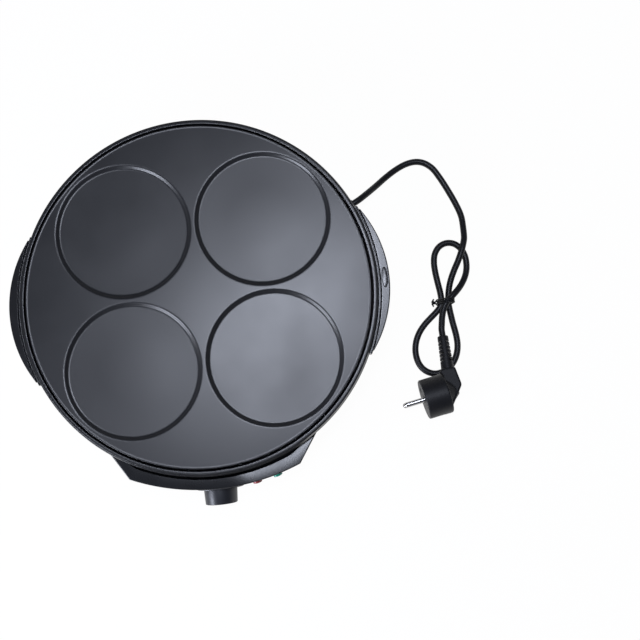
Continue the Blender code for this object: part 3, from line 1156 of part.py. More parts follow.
# Twist tie: one wire, twisted with itself beside the bundle and once round its three strands
tie_place = Vector(TIE_PLACE) * MM
tie_offset = CORD_RADIUS + TIE_CLEARANCE + TIE_RADIUS
strand_rims = []
for across, rise, spread in TIE_STRANDS:
    for turn in (2 * math.pi * number / 48 for number in range(48)):
        strand_rims.append(Vector((across * MM + math.cos(turn) * (tie_offset + spread * MM),
                                   rise * MM + math.sin(turn) * tie_offset)))


def taut(places):
    """The taut loop round flat points, anticlockwise from the leftmost."""
    ordered = sorted(places, key=lambda place: (place.x, place.y))

    def chain(sequence):
        kept = []
        for place in sequence:
            while len(kept) > 1 and (kept[-1] - kept[-2]).cross(place - kept[-1]) <= 0:
                kept.pop()
            kept.append(place)
        return kept[:-1]
    return chain(ordered) + chain(ordered[::-1])


loop = taut(strand_rims)
loop.append(loop[0])
lengths = [0.0]
for start, end in zip(loop, loop[1:]):
    lengths.append(lengths[-1] + (end - start).length)
tie_loop = []
for number in range(1, TIE_LOOP_STEPS):
    goal = lengths[-1] * number / TIE_LOOP_STEPS
    index = max(place for place, length in enumerate(lengths) if length <= goal)
    share = (goal - lengths[index]) / (lengths[index + 1] - lengths[index])
    flat = loop[index].lerp(loop[index + 1], share)
    slide = TIE_TWIST_RADIUS * (2 * number / TIE_LOOP_STEPS - 1)
    tie_loop.append(tie_place + Vector((flat.x, slide, flat.y)))
twist_start = loop[0].x - TIE_NECK


def twisted(phase):
    """One of the two wires of the twist, from its far end to the loop."""
    found = []
    for number in range(TIE_TWIST_STEPS, -1, -1):
        turn = phase + 2 * math.pi * number / TIE_TWIST_STEPS
        found.append(tie_place + Vector((twist_start - TIE_TWIST_LENGTH * number / TIE_TWIST_STEPS,
                                         TIE_TWIST_RADIUS * math.cos(turn), TIE_TWIST_RADIUS * math.sin(turn))))
    return found


near_end, far_end = [tie_place + Vector(place) * MM for place in TIE_ENDS]
tie_points = [far_end] + twisted(math.pi) + tie_loop + twisted(0)[::-1] + [near_end]
tube("twist_tie", tie_points, TIE_RADIUS, 1, material=black_plastic)
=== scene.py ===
"""An electric pancake maker with four shallow dishes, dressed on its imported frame.

Pieces are drawn in millimetres about the upright axis of the cooking plate, the
table at zero, and are set down in the frame's metres when they are finished.
"""
import math

import bmesh
import bpy
from mathutils import Matrix, Quaternion, Vector


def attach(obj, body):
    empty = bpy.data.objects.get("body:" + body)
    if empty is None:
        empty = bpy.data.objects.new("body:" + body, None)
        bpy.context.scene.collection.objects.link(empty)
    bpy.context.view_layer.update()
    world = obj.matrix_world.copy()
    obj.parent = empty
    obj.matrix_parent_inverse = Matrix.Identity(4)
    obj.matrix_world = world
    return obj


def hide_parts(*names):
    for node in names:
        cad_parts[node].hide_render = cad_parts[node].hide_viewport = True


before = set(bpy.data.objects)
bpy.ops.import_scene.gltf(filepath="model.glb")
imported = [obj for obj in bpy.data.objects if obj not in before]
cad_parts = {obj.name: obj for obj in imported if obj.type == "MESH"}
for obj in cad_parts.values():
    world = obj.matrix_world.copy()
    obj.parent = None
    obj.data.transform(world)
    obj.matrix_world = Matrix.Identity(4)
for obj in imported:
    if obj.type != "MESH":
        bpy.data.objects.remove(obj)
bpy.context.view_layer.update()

# The room. A white floor in a studio that is white at the horizon and dim overhead, a
# soft lamp above the right of the plate and a low one at the front left, and a camera
# that looks down on the plate as in the photograph.
scene = bpy.context.scene
scene.view_settings.view_transform = "Standard"
MIX_FIRST = 6
MIX_SECOND = 7
MIX_RESULT = 2
WHITE = (1.0, 1.0, 1.0, 1.0)


def either(tree, first, second):
    """A value that is one where either of two is."""
    pick = tree.nodes.new("ShaderNodeMath")
    pick.operation = "MAXIMUM"
    tree.links.new(first, pick.inputs[0])
    tree.links.new(second, pick.inputs[1])
    return pick.outputs[0]


surround = bpy.data.worlds.new("studio_surround")
scene.world = surround
surround.use_nodes = True
sky = surround.node_tree
walls = sky.nodes["Background"]
way = sky.nodes.new("ShaderNodeTexCoord")
rise = sky.nodes.new("ShaderNodeSeparateXYZ")
sky.links.new(way.outputs["Generated"], rise.inputs[0])
fade = sky.nodes.new("ShaderNodeValToRGB")
fade.color_ramp.elements[0].position = 0.04
fade.color_ramp.elements[0].color = WHITE
fade.color_ramp.elements[1].position = 0.16
fade.color_ramp.elements[1].color = (0.13, 0.14, 0.17, 1.0)
sky.links.new(rise.outputs["Z"], fade.inputs[0])
look = sky.nodes.new("ShaderNodeLightPath")
clear_look = either(sky, look.outputs["Is Camera Ray"], look.outputs["Is Transmission Ray"])
backdrop = sky.nodes.new("ShaderNodeMix")
backdrop.data_type = "RGBA"
backdrop.inputs[MIX_SECOND].default_value = WHITE
sky.links.new(clear_look, backdrop.inputs[0])
sky.links.new(fade.outputs[0], backdrop.inputs[MIX_FIRST])
sky.links.new(backdrop.outputs[MIX_RESULT], walls.inputs["Color"])

FLOOR_HALF = 3.0
FLOOR_LEVEL = -0.0003
floor_mesh = bpy.data.meshes.new("floor")
floor_mesh.from_pydata(
    [(x * FLOOR_HALF, y * FLOOR_HALF, FLOOR_LEVEL) for x, y in ((-1, -1), (1, -1), (1, 1), (-1, 1))],
    [], [(0, 1, 2, 3)])
floor = bpy.data.objects.new("floor", floor_mesh)
scene.collection.objects.link(floor)
paper = bpy.data.materials.new("white_paper_floor")
paper.use_nodes = True
sheet = paper.node_tree
sheet.nodes.clear()
matt = sheet.nodes.new("ShaderNodeBsdfDiffuse")
matt.inputs["Color"].default_value = (0.88, 0.88, 0.88, 1.0)
bright = sheet.nodes.new("ShaderNodeEmission")
bright.inputs["Strength"].default_value = 1.0
ray = sheet.nodes.new("ShaderNodeLightPath")
direct = either(sheet, ray.outputs["Is Camera Ray"], ray.outputs["Is Glossy Ray"])
through = either(sheet, direct, ray.outputs["Is Transmission Ray"])
share = sheet.nodes.new("ShaderNodeMath")
share.operation = "MULTIPLY"
share.inputs[1].default_value = 0.975
sheet.links.new(through, share.inputs[0])
floor_choice = sheet.nodes.new("ShaderNodeMixShader")
sheet.links.new(share.outputs[0], floor_choice.inputs[0])
sheet.links.new(matt.outputs[0], floor_choice.inputs[1])
sheet.links.new(bright.outputs[0], floor_choice.inputs[2])
sheet_out = sheet.nodes.new("ShaderNodeOutputMaterial")
sheet.links.new(floor_choice.outputs[0], sheet_out.inputs[0])
floor_mesh.materials.append(paper)

LAMP_TINT = (0.81, 0.86, 1.0)
for name, place, size, power, aim, spin in (
        ("overhead_softbox", (0.03, 0.139, 1.47), (0.608, 0.188), 12.4, (0.03, 0.139, 0.0), 34.8),
        ("low_softbox", (-0.95, -0.68, 0.5), (0.66, 0.5), 22.0, (0.0, 0.0, 0.06), 0.0)):
    lamp_data = bpy.data.lights.new(name, "AREA")
    lamp_data.shape = "RECTANGLE"
    lamp_data.size, lamp_data.size_y = size
    lamp_data.energy = power
    lamp_data.color = LAMP_TINT
    lamp = bpy.data.objects.new(name, lamp_data)
    lamp.location = place
    facing = (Vector(aim) - Vector(place)).to_track_quat("-Z", "Y")
    lamp.rotation_euler = (facing @ Quaternion((0, 0, 1), math.radians(spin))).to_euler()
    lamp.visible_camera = False
    scene.collection.objects.link(lamp)

camera_data = bpy.data.cameras.new("camera")
camera_data.lens = 45
camera_data.sensor_width = 36
camera = bpy.data.objects.new("camera", camera_data)
camera.location = (0.10355, -0.08678, 0.75731)
camera.rotation_euler = [math.radians(turn) for turn in (5.6551, 0.5999, -5.4445)]
scene.collection.objects.link(camera)
scene.camera = camera

# Feet. Four soft black rubber buttons, each with a recess for the pan-head screw
# that holds it, the base cover and the body together.
PLATE_SETBACK = 0.0142
MILLIMETRE = 0.001
AXIS = Matrix.Translation((0, PLATE_SETBACK, 0)) @ Matrix.Scale(MILLIMETRE, 4)
FOOT_CIRCLE = 124.0


def linked(name, mesh):
    """Put a mesh in the scene."""
    obj = bpy.data.objects.new(name, mesh)
    scene.collection.objects.link(obj)
    return obj


def plain(obj):
    """Give an object the mesh that its modifiers make, and take them away."""
    made = obj.evaluated_get(bpy.context.evaluated_depsgraph_get())
    mesh = bpy.data.meshes.new_from_object(made)
    obj.modifiers.clear()
    obj.data = mesh
    return obj


def settle(obj, body, slot, *nodes, finish=None, crease=30):
    """Set a finished piece down in the frame: its finish, smooth faces, metres, body and nodes. The slot
    argument is not used.
    """
    if finish:
        obj.data.materials.clear()
        obj.data.materials.append(finish)
    obj.data.shade_smooth()
    obj.data.set_sharp_from_angle(angle=math.radians(crease))
    obj.data.transform(AXIS)
    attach(obj, body)
    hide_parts(*nodes)
    return obj


def solid(name, work, place=None):
    """A working mesh as an object: its faces turned outwards, and moved to its place."""
    bmesh.ops.recalc_face_normals(work, faces=work.faces)
    if place:
        work.transform(place)
    mesh = bpy.data.meshes.new(name)
    work.to_mesh(mesh)
    work.free()
    return linked(name, mesh)


def eased(corners, steps=5, closed=True):
    """A profile with rounded corners: each corner is (radius, height) or (radius, height, rounding)."""
    points = []
    for index, corner in enumerate(corners):
        here = Vector(corner[:2])
        rounding = corner[2] if len(corner) > 2 else 0
        if not rounding or (not closed and index in (0, len(corners) - 1)):
            points.append(tuple(here))
            continue
        before = (Vector(corners[index - 1][:2]) - here).normalized()
        after = (Vector(corners[(index + 1) % len(corners)][:2]) - here).normalized()
        half = before.angle(after) / 2
        back = rounding / math.tan(half)
        centre = here + (before + after).normalized() * (rounding / math.sin(half))
        start = here + before * back - centre
        end = here + after * back - centre
        sweep = start.angle_signed(end)
        for step in range(steps + 1):
            turned_by = Matrix.Rotation(-sweep * step / steps, 2)
            points.append(tuple(centre + turned_by @ start))
    return points


def lathe(name, profile, steps=64, closed=True, phase=0.0, place=None):
    """Turn a profile of (radius, height) points about the upright axis."""
    work = bmesh.new()
    turns = [2 * math.pi * (step + phase) / steps for step in range(steps)]
    rings = []
    for radius, height in profile:
        if not radius:
            rings.append([work.verts.new((0, 0, height))])
        else:
            rings.append([work.verts.new((radius * math.cos(turn), radius * math.sin(turn), height))
                          for turn in turns])
    pairs = list(zip(rings, rings[1:])) + ([(rings[-1], rings[0])] if closed else [])
    for upper, lower in pairs:
        for step in range(steps):
            after = (step + 1) % steps
            corners = [upper[step % len(upper)], upper[after % len(upper)],
                       lower[after % len(lower)], lower[step % len(lower)]]
            corners = list(dict.fromkeys(corners))
            if len(corners) > 2:
                work.faces.new(corners)
    return solid(name, work, place)


def capped(name, profile, steps, place=None):
    """A turned solid whose profile starts and ends on the axis."""
    return lathe(name, profile, steps, closed=False, phase=0.5, place=place)


def rod(name, radius, low, high, steps, place=None):
    """A plain rod on the axis of its place, from low to high."""
    return capped(name, [(0, low), (radius, low), (radius, high), (0, high)], steps, place)


def cut(target, tool, operation="DIFFERENCE"):
    """Cut a solid with another, or join the two, and leave a plain mesh."""
    step = target.modifiers.new("cut", "BOOLEAN")
    step.operation = operation
    step.solver = "EXACT"
    step.object = tool
    plain(target)
    bpy.data.objects.remove(tool)


def prism(name, outline, low, high, place=None):
    """A flat outline given its thickness, from low to high."""
    work = bmesh.new()
    lower = [work.verts.new((x, y, low)) for x, y in outline]
    upper = [work.verts.new((x, y, high)) for x, y in outline]
    work.faces.new(lower)
    work.faces.new(upper)
    for index in range(len(outline)):
        after = (index + 1) % len(outline)
        work.faces.new((lower[index], lower[after], upper[after], upper[index]))
    return solid(name, work, place)


def oblong(left, right, near, far):
    """The four corners of a rectangle."""
    return [(left, near), (right, near), (right, far), (left, far)]


def moulded(name, colour, shade, roughness, grain, depth, metallic=0.0, drift=30.0, spread=0.05,
            shine=0.5):
    """A finish that drifts between two close tones, with uneven gloss and a fine raised grain."""
    material = bpy.data.materials.new(name)
    material.use_nodes = True
    nodes, links = material.node_tree.nodes, material.node_tree.links
    shader = nodes["Principled BSDF"]
    shader.inputs["Metallic"].default_value = metallic
    shader.inputs["Specular IOR Level"].default_value = shine
    place = nodes.new("ShaderNodeTexCoord")
    broad = nodes.new("ShaderNodeTexNoise")
    broad.inputs["Scale"].default_value = drift
    broad.inputs["Detail"].default_value = 4.0
    links.new(place.outputs["Object"], broad.inputs["Vector"])
    tone = nodes.new("ShaderNodeMix")
    tone.data_type = "RGBA"
    tone.inputs[MIX_FIRST].default_value = (*colour, 1.0)
    tone.inputs[MIX_SECOND].default_value = (*shade, 1.0)
    links.new(broad.outputs["Fac"], tone.inputs[0])
    links.new(tone.outputs[MIX_RESULT], shader.inputs["Base Color"])
    gloss = nodes.new("ShaderNodeMapRange")
    gloss.inputs["From Min"].default_value = 0.3
    gloss.inputs["From Max"].default_value = 0.7
    gloss.inputs["To Min"].default_value = roughness - spread
    gloss.inputs["To Max"].default_value = roughness + spread
    links.new(broad.outputs["Fac"], gloss.inputs["Value"])
    links.new(gloss.outputs["Result"], shader.inputs["Roughness"])
    fine = nodes.new("ShaderNodeTexNoise")
    fine.inputs["Scale"].default_value = grain
    fine.inputs["Detail"].default_value = 2.0
    links.new(place.outputs["Object"], fine.inputs["Vector"])
    raised = nodes.new("ShaderNodeBump")
    raised.inputs["Strength"].default_value = 0.5
    raised.inputs["Distance"].default_value = depth
    links.new(fine.outputs["Fac"], raised.inputs["Height"])
    links.new(raised.outputs["Normal"], shader.inputs["Normal"])
    return material


ring_copies = bpy.data.node_groups.new("copies_round_the_axis", "GeometryNodeTree")
ring_copies.is_modifier = True
ring_sockets = {}
for label, kind in (("Piece", "Geometry"), ("Count", "Int"), ("Radius", "Float"), ("Start", "Float"),
                    ("Step", "Float"), ("Finish", "Material")):
    ring_sockets[label] = ring_copies.interface.new_socket(
        label, in_out="INPUT", socket_type=f"NodeSocket{kind}")
ring_copies.interface.new_socket("Copies", in_out="OUTPUT", socket_type="NodeSocketGeometry")
asked = ring_copies.nodes.new("NodeGroupInput")
given = ring_copies.nodes.new("NodeGroupOutput")
spots = ring_copies.nodes.new("GeometryNodePoints")
number = ring_copies.nodes.new("GeometryNodeInputIndex")
turn = ring_copies.nodes.new("ShaderNodeMath")
turn.operation = "MULTIPLY_ADD"
across = ring_copies.nodes.new("ShaderNodeMath")
across.operation = "COSINE"
back = ring_copies.nodes.new("ShaderNodeMath")
back.operation = "SINE"
spoke = ring_copies.nodes.new("ShaderNodeCombineXYZ")
reach = ring_copies.nodes.new("ShaderNodeVectorMath")
reach.operation = "SCALE"
facing = ring_copies.nodes.new("ShaderNodeCombineXYZ")
facing_turn = ring_copies.nodes.new("FunctionNodeEulerToRotation")
copies = ring_copies.nodes.new("GeometryNodeInstanceOnPoints")
real = ring_copies.nodes.new("GeometryNodeRealizeInstances")
dress = ring_copies.nodes.new("GeometryNodeSetMaterial")
for source, target in (
        (asked.outputs["Count"], spots.inputs["Count"]),
        (number.outputs[0], turn.inputs[0]),
        (asked.outputs["Step"], turn.inputs[1]),
        (asked.outputs["Start"], turn.inputs[2]),
        (turn.outputs[0], across.inputs[0]),
        (turn.outputs[0], back.inputs[0]),
        (across.outputs[0], spoke.inputs["X"]),
        (back.outputs[0], spoke.inputs["Y"]),
        (spoke.outputs[0], reach.inputs[0]),
        (asked.outputs["Radius"], reach.inputs["Scale"]),
        (reach.outputs[0], spots.inputs["Position"]),
        (turn.outputs[0], facing.inputs["Z"]),
        (facing.outputs[0], facing_turn.inputs[0]),
        (spots.outputs[0], copies.inputs["Points"]),
        (asked.outputs["Piece"], copies.inputs["Instance"]),
        (facing_turn.outputs[0], copies.inputs["Rotation"]),
        (copies.outputs[0], real.inputs[0]),
        (real.outputs[0], dress.inputs["Geometry"]),
        (asked.outputs["Finish"], dress.inputs["Material"]),
        (dress.outputs[0], given.inputs[0])):
    ring_copies.links.new(source, target)


def round_the_axis(obj, count, radius, start, step, finish):
    """Repeat a piece on a circle about the axis: start and step in degrees."""
    repeat = obj.modifiers.new("copies", "NODES")
    repeat.node_group = ring_copies
    for label, value in (("Count", count), ("Radius", float(radius)), ("Start", math.radians(start)),
                         ("Step", math.radians(step)), ("Finish", finish)):
        repeat[ring_sockets[label].identifier] = value
    return plain(obj)


foot_rubber = moulded("black_foot_rubber", (0.012, 0.012, 0.013), (0.02, 0.02, 0.021), 0.6, 2400.0,
                      0.00004, shine=0.35)
feet = lathe("rubber_feet", eased([
    (2.2, 8.8), (10.0, 8.8, 0.5), (11.5, 1.6, 0.8), (10.6, 0.0, 0.5), (4.5, 0.0, 0.5), (4.5, 4.0),
    (2.2, 4.0)]), 48)
round_the_axis(feet, 4, FOOT_CIRCLE, 45, 90, foot_rubber)
settle(feet, "appliance", "black_rubber", "foot_1", "foot_2", "foot_3", "foot_4")

screw_zinc = moulded("zinc_plated_screw", (0.58, 0.59, 0.6), (0.68, 0.68, 0.66), 0.32, 900.0,
                     0.00002, 1.0, 90.0)
foot_screws = capped("foot_screws", eased([
    (0.0, 15.5), (1.5, 15.5), (1.9, 14.9), (1.9, 3.7), (4.2, 3.7, 0.3), (4.2, 2.4, 0.6),
    (2.4, 1.3, 1.2), (0.0, 1.3)], closed=False), 32)
for name, half_x, half_y in (("slot_across", 2.1, 0.45), ("slot_along", 0.45, 2.1)):
    cut(foot_screws, prism(name, oblong(-half_x, half_x, -half_y, half_y), 0.8, 2.5))
round_the_axis(foot_screws, 4, FOOT_CIRCLE, 45, 90, screw_zinc)
settle(foot_screws, "appliance", "zinc_steel", "foot_screw_1", "foot_screw_2", "foot_screw_3",
       "foot_screw_4")

# Base cover. A disc of sheet steel painted black, pressed up in a shallow pan and
# pierced with ten vent slots, held by the four foot screws.
VENT_HALF_RUN = 12.8
VENT_END_RADIUS = 2.2
VENT_CIRCLE = 61.0
VENT_END_STEPS = 8
cover_paint = moulded("black_cover_paint", (0.026, 0.026, 0.028), (0.036, 0.036, 0.038), 0.48, 1500.0,
                      0.00005, 0.2)
base_cover = capped("steel_base_cover", eased([
    (0.0, 13.1), (102.0, 13.1, 3.0), (107.0, 10.1, 2.0), (137.3, 10.1, 0.3), (137.3, 9.1, 0.3),
    (107.0, 9.1, 3.0), (102.0, 12.1, 2.0), (0.0, 12.1)], 4, closed=False), 192)
stadium = []
for side, first in ((1, -90), (-1, 90)):
    for step in range(VENT_END_STEPS + 1):
        bend = math.radians(first + 180 * step / VENT_END_STEPS)
        stadium.append((side * VENT_HALF_RUN + VENT_END_RADIUS * math.cos(bend),
                        VENT_END_RADIUS * math.sin(bend)))
vents = prism("vent_slots", stadium, 8.0, 15.0)
round_the_axis(vents, 10, VENT_CIRCLE, 0, 36, cover_paint)
cut(base_cover, vents)
settle(base_cover, "appliance", "black_steel", "base_cover", finish=cover_paint)

# Body shell. One bowl moulded in black heat-proof plastic: a straight collar that
# rolls in to the base, two raised seats for the handles and an opening at the front.
BLACK = (0.004, 0.0042, 0.005)
SOFT_BLACK = (0.0065, 0.0068, 0.008)
body_plastic = moulded("black_body_plastic", BLACK, SOFT_BLACK, 0.24, 3000.0, 0.000004, spread=0.03)
SHELL_TURNS = [(155.8, 64.2), (155.8, 46.152), (154.585, 37.974), (151.588, 28.104),
               (146.566, 17.952), (141.058, 10.056), (139.6, 7.8)]
SHELL_WALL = 2.5
FLANGE_TOP = 12.9
SEAT_HALF_TURN = 24.4
RELIEF_TURN = 28.5
RELIEF_HEIGHT = 22


def between(a, b, c, d, t):
    """The point a share t of the way from b to c on the smooth line through a, b, c and d."""
    return (2 * b + (c - a) * t + (2 * a - 5 * b + 4 * c - d) * t ** 2
            + (3 * b - a - 3 * c + d) * t ** 3) / 2


def shell_line(inset, fineness=8):
    """The shell's side as a smooth line from its top down, moved inwards by inset."""
    points = [Vector(point) for point in SHELL_TURNS]
    fine = [points[0]]
    for index in range(1, len(points) - 1):
        a = points[index - 1]
        b, c = points[index], points[index + 1]
        d = points[min(index + 2, len(points) - 1)]
        if index == 1:
            a = Vector((b.x, b.y + (b - c).length))
        fine += [between(a, b, c, d, step / fineness) for step in range(fineness)]
    fine.append(points[-1])
    moved = []
    for index, point in enumerate(fine):
        run = (fine[min(index + 1, len(fine) - 1)] - fine[max(index - 1, 0)]).normalized()
        moved.append((point.x + run.y * inset, point.y - run.x * inset))
    return moved


shell_inside = [point for point in shell_line(SHELL_WALL) if point[1] > FLANGE_TOP]
body_shell = lathe("body_shell_moulding", eased(
    [(153.3, 64.2, 0.3), (155.8, 64.2, 0.5)] + shell_line(0.0)[1:-1] + [
        (139.6, 7.8, 0.6), (137.6, 7.8, 0.6), (137.6, 10.4), (111.6, 10.4), (111.6, FLANGE_TOP),
        (shell_inside[-1][0] - 0.6, FLANGE_TOP)] + shell_inside[::-1][:-1]), 240)


def swept(name, profile_at, first, last, steps):
    """A solid swept about the axis between two turns, its profile given for each turn in degrees."""
    work = bmesh.new()
    previous = None
    for step in range(steps + 1):
        degrees = first + (last - first) * step / steps
        bend = math.radians(degrees)
        ring = [work.verts.new((radius * math.cos(bend), radius * math.sin(bend), height))
                for radius, height in profile_at(degrees)]
        if previous:
            for index in range(len(ring)):
                after = (index + 1) % len(ring)
                work.faces.new((previous[index], previous[after], ring[after], ring[index]))
        else:
            work.faces.new(ring)
        previous = ring
    work.faces.new(previous)
    return solid(name, work)


seat_profile = eased([(154.0, 41.4), (159.2, 46.5, 0.8), (159.2, 65.2, 0.9), (157.7, 65.2, 0.3),
                      (157.7, 63.4), (154.0, 63.4)], 4)
for side, middle in (("right", 0.0), ("left", 180.0)):
    seat = swept(f"seat_{side}", lambda degrees: seat_profile, middle - SEAT_HALF_TURN,
                 middle + SEAT_HALF_TURN, 41)
    cut(body_shell, seat, "UNION")
cut(body_shell, prism("front_opening", oblong(-36, 36, -158, -115.8), 16.0, 50.0))
relief_way = Matrix.Rotation(math.radians(RELIEF_TURN), 4, "Z") @ Matrix.Rotation(math.pi / 2, 4, "Y")
relief_place = Matrix.Translation((0, 0, RELIEF_HEIGHT)) @ relief_way
cut(body_shell, rod("relief_hole", 5.5, 135, 165, 32, relief_place))
settle(body_shell, "appliance", "black_plastic", "body_shell", finish=body_plastic)

# Rim ring. A moulded collar that clips into the shell's mouth and carries the plate
# on its ledge; its top has a flat inner band, a crease and a sloping shoulder.
ring_plastic = moulded("black_rim_plastic", BLACK, SOFT_BLACK, 0.28, 2600.0, 0.000004, spread=0.03)
rim_ring = lathe("rim_ring_moulding", eased([
    (151.6, 71.5, 0.9), (154.3, 71.45, 0.2), (154.6, 70.9, 0.2), (155.6, 70.8, 0.35), (156.1, 67.0),
    (157.0, 65.3, 0.3), (157.0, 64.5, 0.3), (153.0, 64.5), (153.0, 56.0, 0.3), (147.6, 56.0, 0.3),
    (147.6, 57.4, 0.3), (150.5, 57.4), (151.5, 66.0, 1.0)], 6), 288)
settle(rim_ring, "appliance", "black_plastic", "rim_ring", finish=ring_plastic, crease=38)

# Cooking plate. A casting with a turned edge and skirt, covered with a satin charcoal
# non-stick coat; its four dishes are pressed in with soft lips and flat floors.
PLATE_TOP = 71.78
DISH_FLOOR = 69.3
DISH_CIRCLE = 86.409
coating = moulded("charcoal_non_stick_coat", (0.007, 0.0072, 0.0085), (0.010, 0.0103, 0.012), 0.34,
                  1800.0, 0.000008, 0.0, 22.0, 0.02)
plate_edge = capped("turned_edge", [(147.6, PLATE_TOP)] + eased([
    (148.2, PLATE_TOP), (148.9, 71.95, 0.25), (149.9, 71.9, 0.35), (149.7, 66.0), (149.7, 57.7, 0.4),
    (146.5, 57.7, 0.4), (146.5, 65.5, 1.0), (0.0, 65.5)], 6, closed=False), 288)
dishes = lathe("four_dishes", [(60.95, PLATE_TOP)] + eased([
    (60.9, PLATE_TOP), (58.75, PLATE_TOP, 3.3), (56.55, DISH_FLOOR, 3.3), (30.0, DISH_FLOOR),
    (0.0, DISH_FLOOR)], 8, closed=False), 144, closed=False)
round_the_axis(dishes, 4, DISH_CIRCLE, 45, 90, coating)
plate_work = bmesh.new()
plate_work.from_mesh(plate_edge.data)
plate_work.from_mesh(dishes.data)
rims = [edge for edge in plate_work.edges if edge.is_boundary]
bmesh.ops.triangle_fill(plate_work, use_beauty=True, use_dissolve=False, edges=rims, normal=(0, 0, 1))
bmesh.ops.remove_doubles(plate_work, verts=plate_work.verts, dist=0.001)
bpy.data.objects.remove(plate_edge)
bpy.data.objects.remove(dishes)
cooking_plate = solid("cooking_plate_casting", plate_work)
settle(cooking_plate, "appliance", "non_stick_plate", "cooking_plate", finish=coating)

# Handles. Crescent hoods of the body's plastic, hollow from below, screwed to the
# seats from inside; an oval plug closes the moulding hole in the right one.
HANDLE_ROOT = 159.5
HANDLE_LOW = 43.0
HANDLE_TOP = 65.2
HANDLE_ARC = 109.0
HANDLE_ARC_OUT = 58
HANDLE_HALF_TURN = 23.1
HANDLE_WALL = 1.8
OVAL_OUT = 162.85
OVAL_HALF_WIDTH = 2.65
OVAL_HALF_LENGTH = 8.4


def rounded(obj, width, segments, sharper_than=30):
    """Round an object's edges that turn by more than an angle in degrees."""
    bevel = obj.modifiers.new("rounded", "BEVEL")
    bevel.width = width
    bevel.segments = segments
    bevel.limit_method = "ANGLE"
    bevel.angle_limit = math.radians(sharper_than)
    return plain(obj)


def handle_reach(bend, arc_radius=HANDLE_ARC):
    """How far out a handle's outer arc, about a point of its own, lies at a turn from its middle."""
    aside = HANDLE_ARC_OUT * math.sin(bend)
    return HANDLE_ARC_OUT * math.cos(bend) + math.sqrt(arc_radius ** 2 - aside ** 2)


def crescent(inner, arc_radius, half_turn, steps):
    """The outline of a handle's pocket: an outer arc like the handle's, an inner one about the axis."""
    turns = [math.radians(half_turn) * (2 * step / steps - 1) for step in range(steps + 1)]
    outside = [(handle_reach(bend, arc_radius), bend) for bend in turns]
    inside = [(inner, bend) for bend in reversed(turns)]
    return [(radius * math.cos(bend), radius * math.sin(bend)) for radius, bend in outside + inside]


def handle_profile(degrees):
    """The handle cut upright at a turn from its middle: thick there, thin at its ends."""
    outer = handle_reach(math.radians(degrees))
    rounding = min(0.7, 0.6 * (outer - HANDLE_ROOT))
    margin = 0.1 * (outer - HANDLE_ROOT - 1.2 * rounding)
    return eased([(HANDLE_ROOT, HANDLE_LOW), (outer, HANDLE_LOW, rounding), (outer, 64.6 - rounding),
                  (outer, HANDLE_TOP, rounding), (outer - rounding - margin, HANDLE_TOP),
                  (HANDLE_ROOT + 0.2 * rounding + margin, HANDLE_TOP),
                  (HANDLE_ROOT, HANDLE_TOP, 0.2 * rounding)])


def oval(grow, steps=48):
    """The oval plug's outline, grown all round."""
    turns = [2 * math.pi * (step + 0.5) / steps for step in range(steps)]
    return [(OVAL_OUT + (OVAL_HALF_WIDTH + grow) * math.cos(bend), (OVAL_HALF_LENGTH + grow) * math.sin(bend))
            for bend in turns]


for side, facing_turn in (("right", 0.0), ("left", math.pi)):
    handle = swept(f"handle_hood_{side}", handle_profile, -HANDLE_HALF_TURN, HANDLE_HALF_TURN, 61)
    pocket = crescent(HANDLE_ROOT + HANDLE_WALL, HANDLE_ARC - HANDLE_WALL, 13.0, 31)
    cut(handle, prism("hood_pocket", pocket, 40.0, 61.8))
    if side == "right":
        cut(handle, prism("plug_recess", oval(0.6), 62.9, 67.0))
        oval_plug = rounded(prism("handle_oval_plug", oval(0.0), 64.0, HANDLE_TOP), 0.3, 3)
        settle(oval_plug, "appliance", "black_plastic", "handle_cap_right", finish=body_plastic)
    handle.data.transform(Matrix.Rotation(facing_turn, 4, "Z"))
    settle(handle, "appliance", "black_plastic", f"handle_{side}", finish=body_plastic)

# Control panel. A separate hollow moulding that hugs the front of the shell, with
# flared ends, a sunk channel behind its top edge and a flat pad behind the knob.
FRONT = -math.pi / 2
PANEL_FRONT = 168.7
PANEL_BOW = 191.0
PANEL_CORNER = 74.2
PANEL_END_SLANT = math.radians(33)
PANEL_TIP = 157.3
PANEL_ROOT = 142.9
PANEL_TOP = 58.0
PANEL_WALL = 2.5
PANEL_SCREW_TURN = 22
PANEL_SCREW_HEIGHT = 24
KNOB_HEIGHT = 31
LIGHT_HEIGHT = 34
RED_TURN = 11.4
GREEN_TURN = 17.8


def arc(radius, start, end, steps):
    """Points on an arc about the axis."""
    turns = [start + (end - start) * step / steps for step in range(steps + 1)]
    return [(radius * math.cos(bend), radius * math.sin(bend)) for bend in turns]


def panel_outline(inset, root, steps=45):
    """The panel from above, its walls moved inwards by inset, back to the radius root."""
    bow_centre = Vector((0.0, PANEL_BOW - PANEL_FRONT))
    corner = Vector((PANEL_CORNER, bow_centre.y - math.sqrt(PANEL_BOW ** 2 - PANEL_CORNER ** 2)))
    along = Vector((math.sin(PANEL_END_SLANT), math.cos(PANEL_END_SLANT)))
    start = corner + Vector((-along.y, along.x)) * inset

    def side_place(centre, radius):
        """Where the slanted end meets a circle."""
        offset = (start - centre).dot(along)
        half_chord = math.sqrt(offset ** 2 - (start - centre).length_squared + radius ** 2)
        return start - along * (offset + half_chord)

    end = side_place(bow_centre, PANEL_BOW - inset)
    tip = side_place(Vector((0.0, 0.0)), max(PANEL_TIP, root))
    half_bow = math.asin(end.x / (PANEL_BOW - inset))
    half_root = math.atan2(tip.x, -tip.y)
    front_arc = arc(PANEL_BOW - inset, FRONT - half_bow, FRONT + half_bow, steps)
    front_line = [(x, y + bow_centre.y) for x, y in front_arc]
    root_line = arc(root, FRONT + half_root, FRONT - half_root, steps)
    if root < PANEL_TIP:
        return front_line + [tuple(tip)] + root_line + [(-tip.x, tip.y)]
    return front_line + root_line


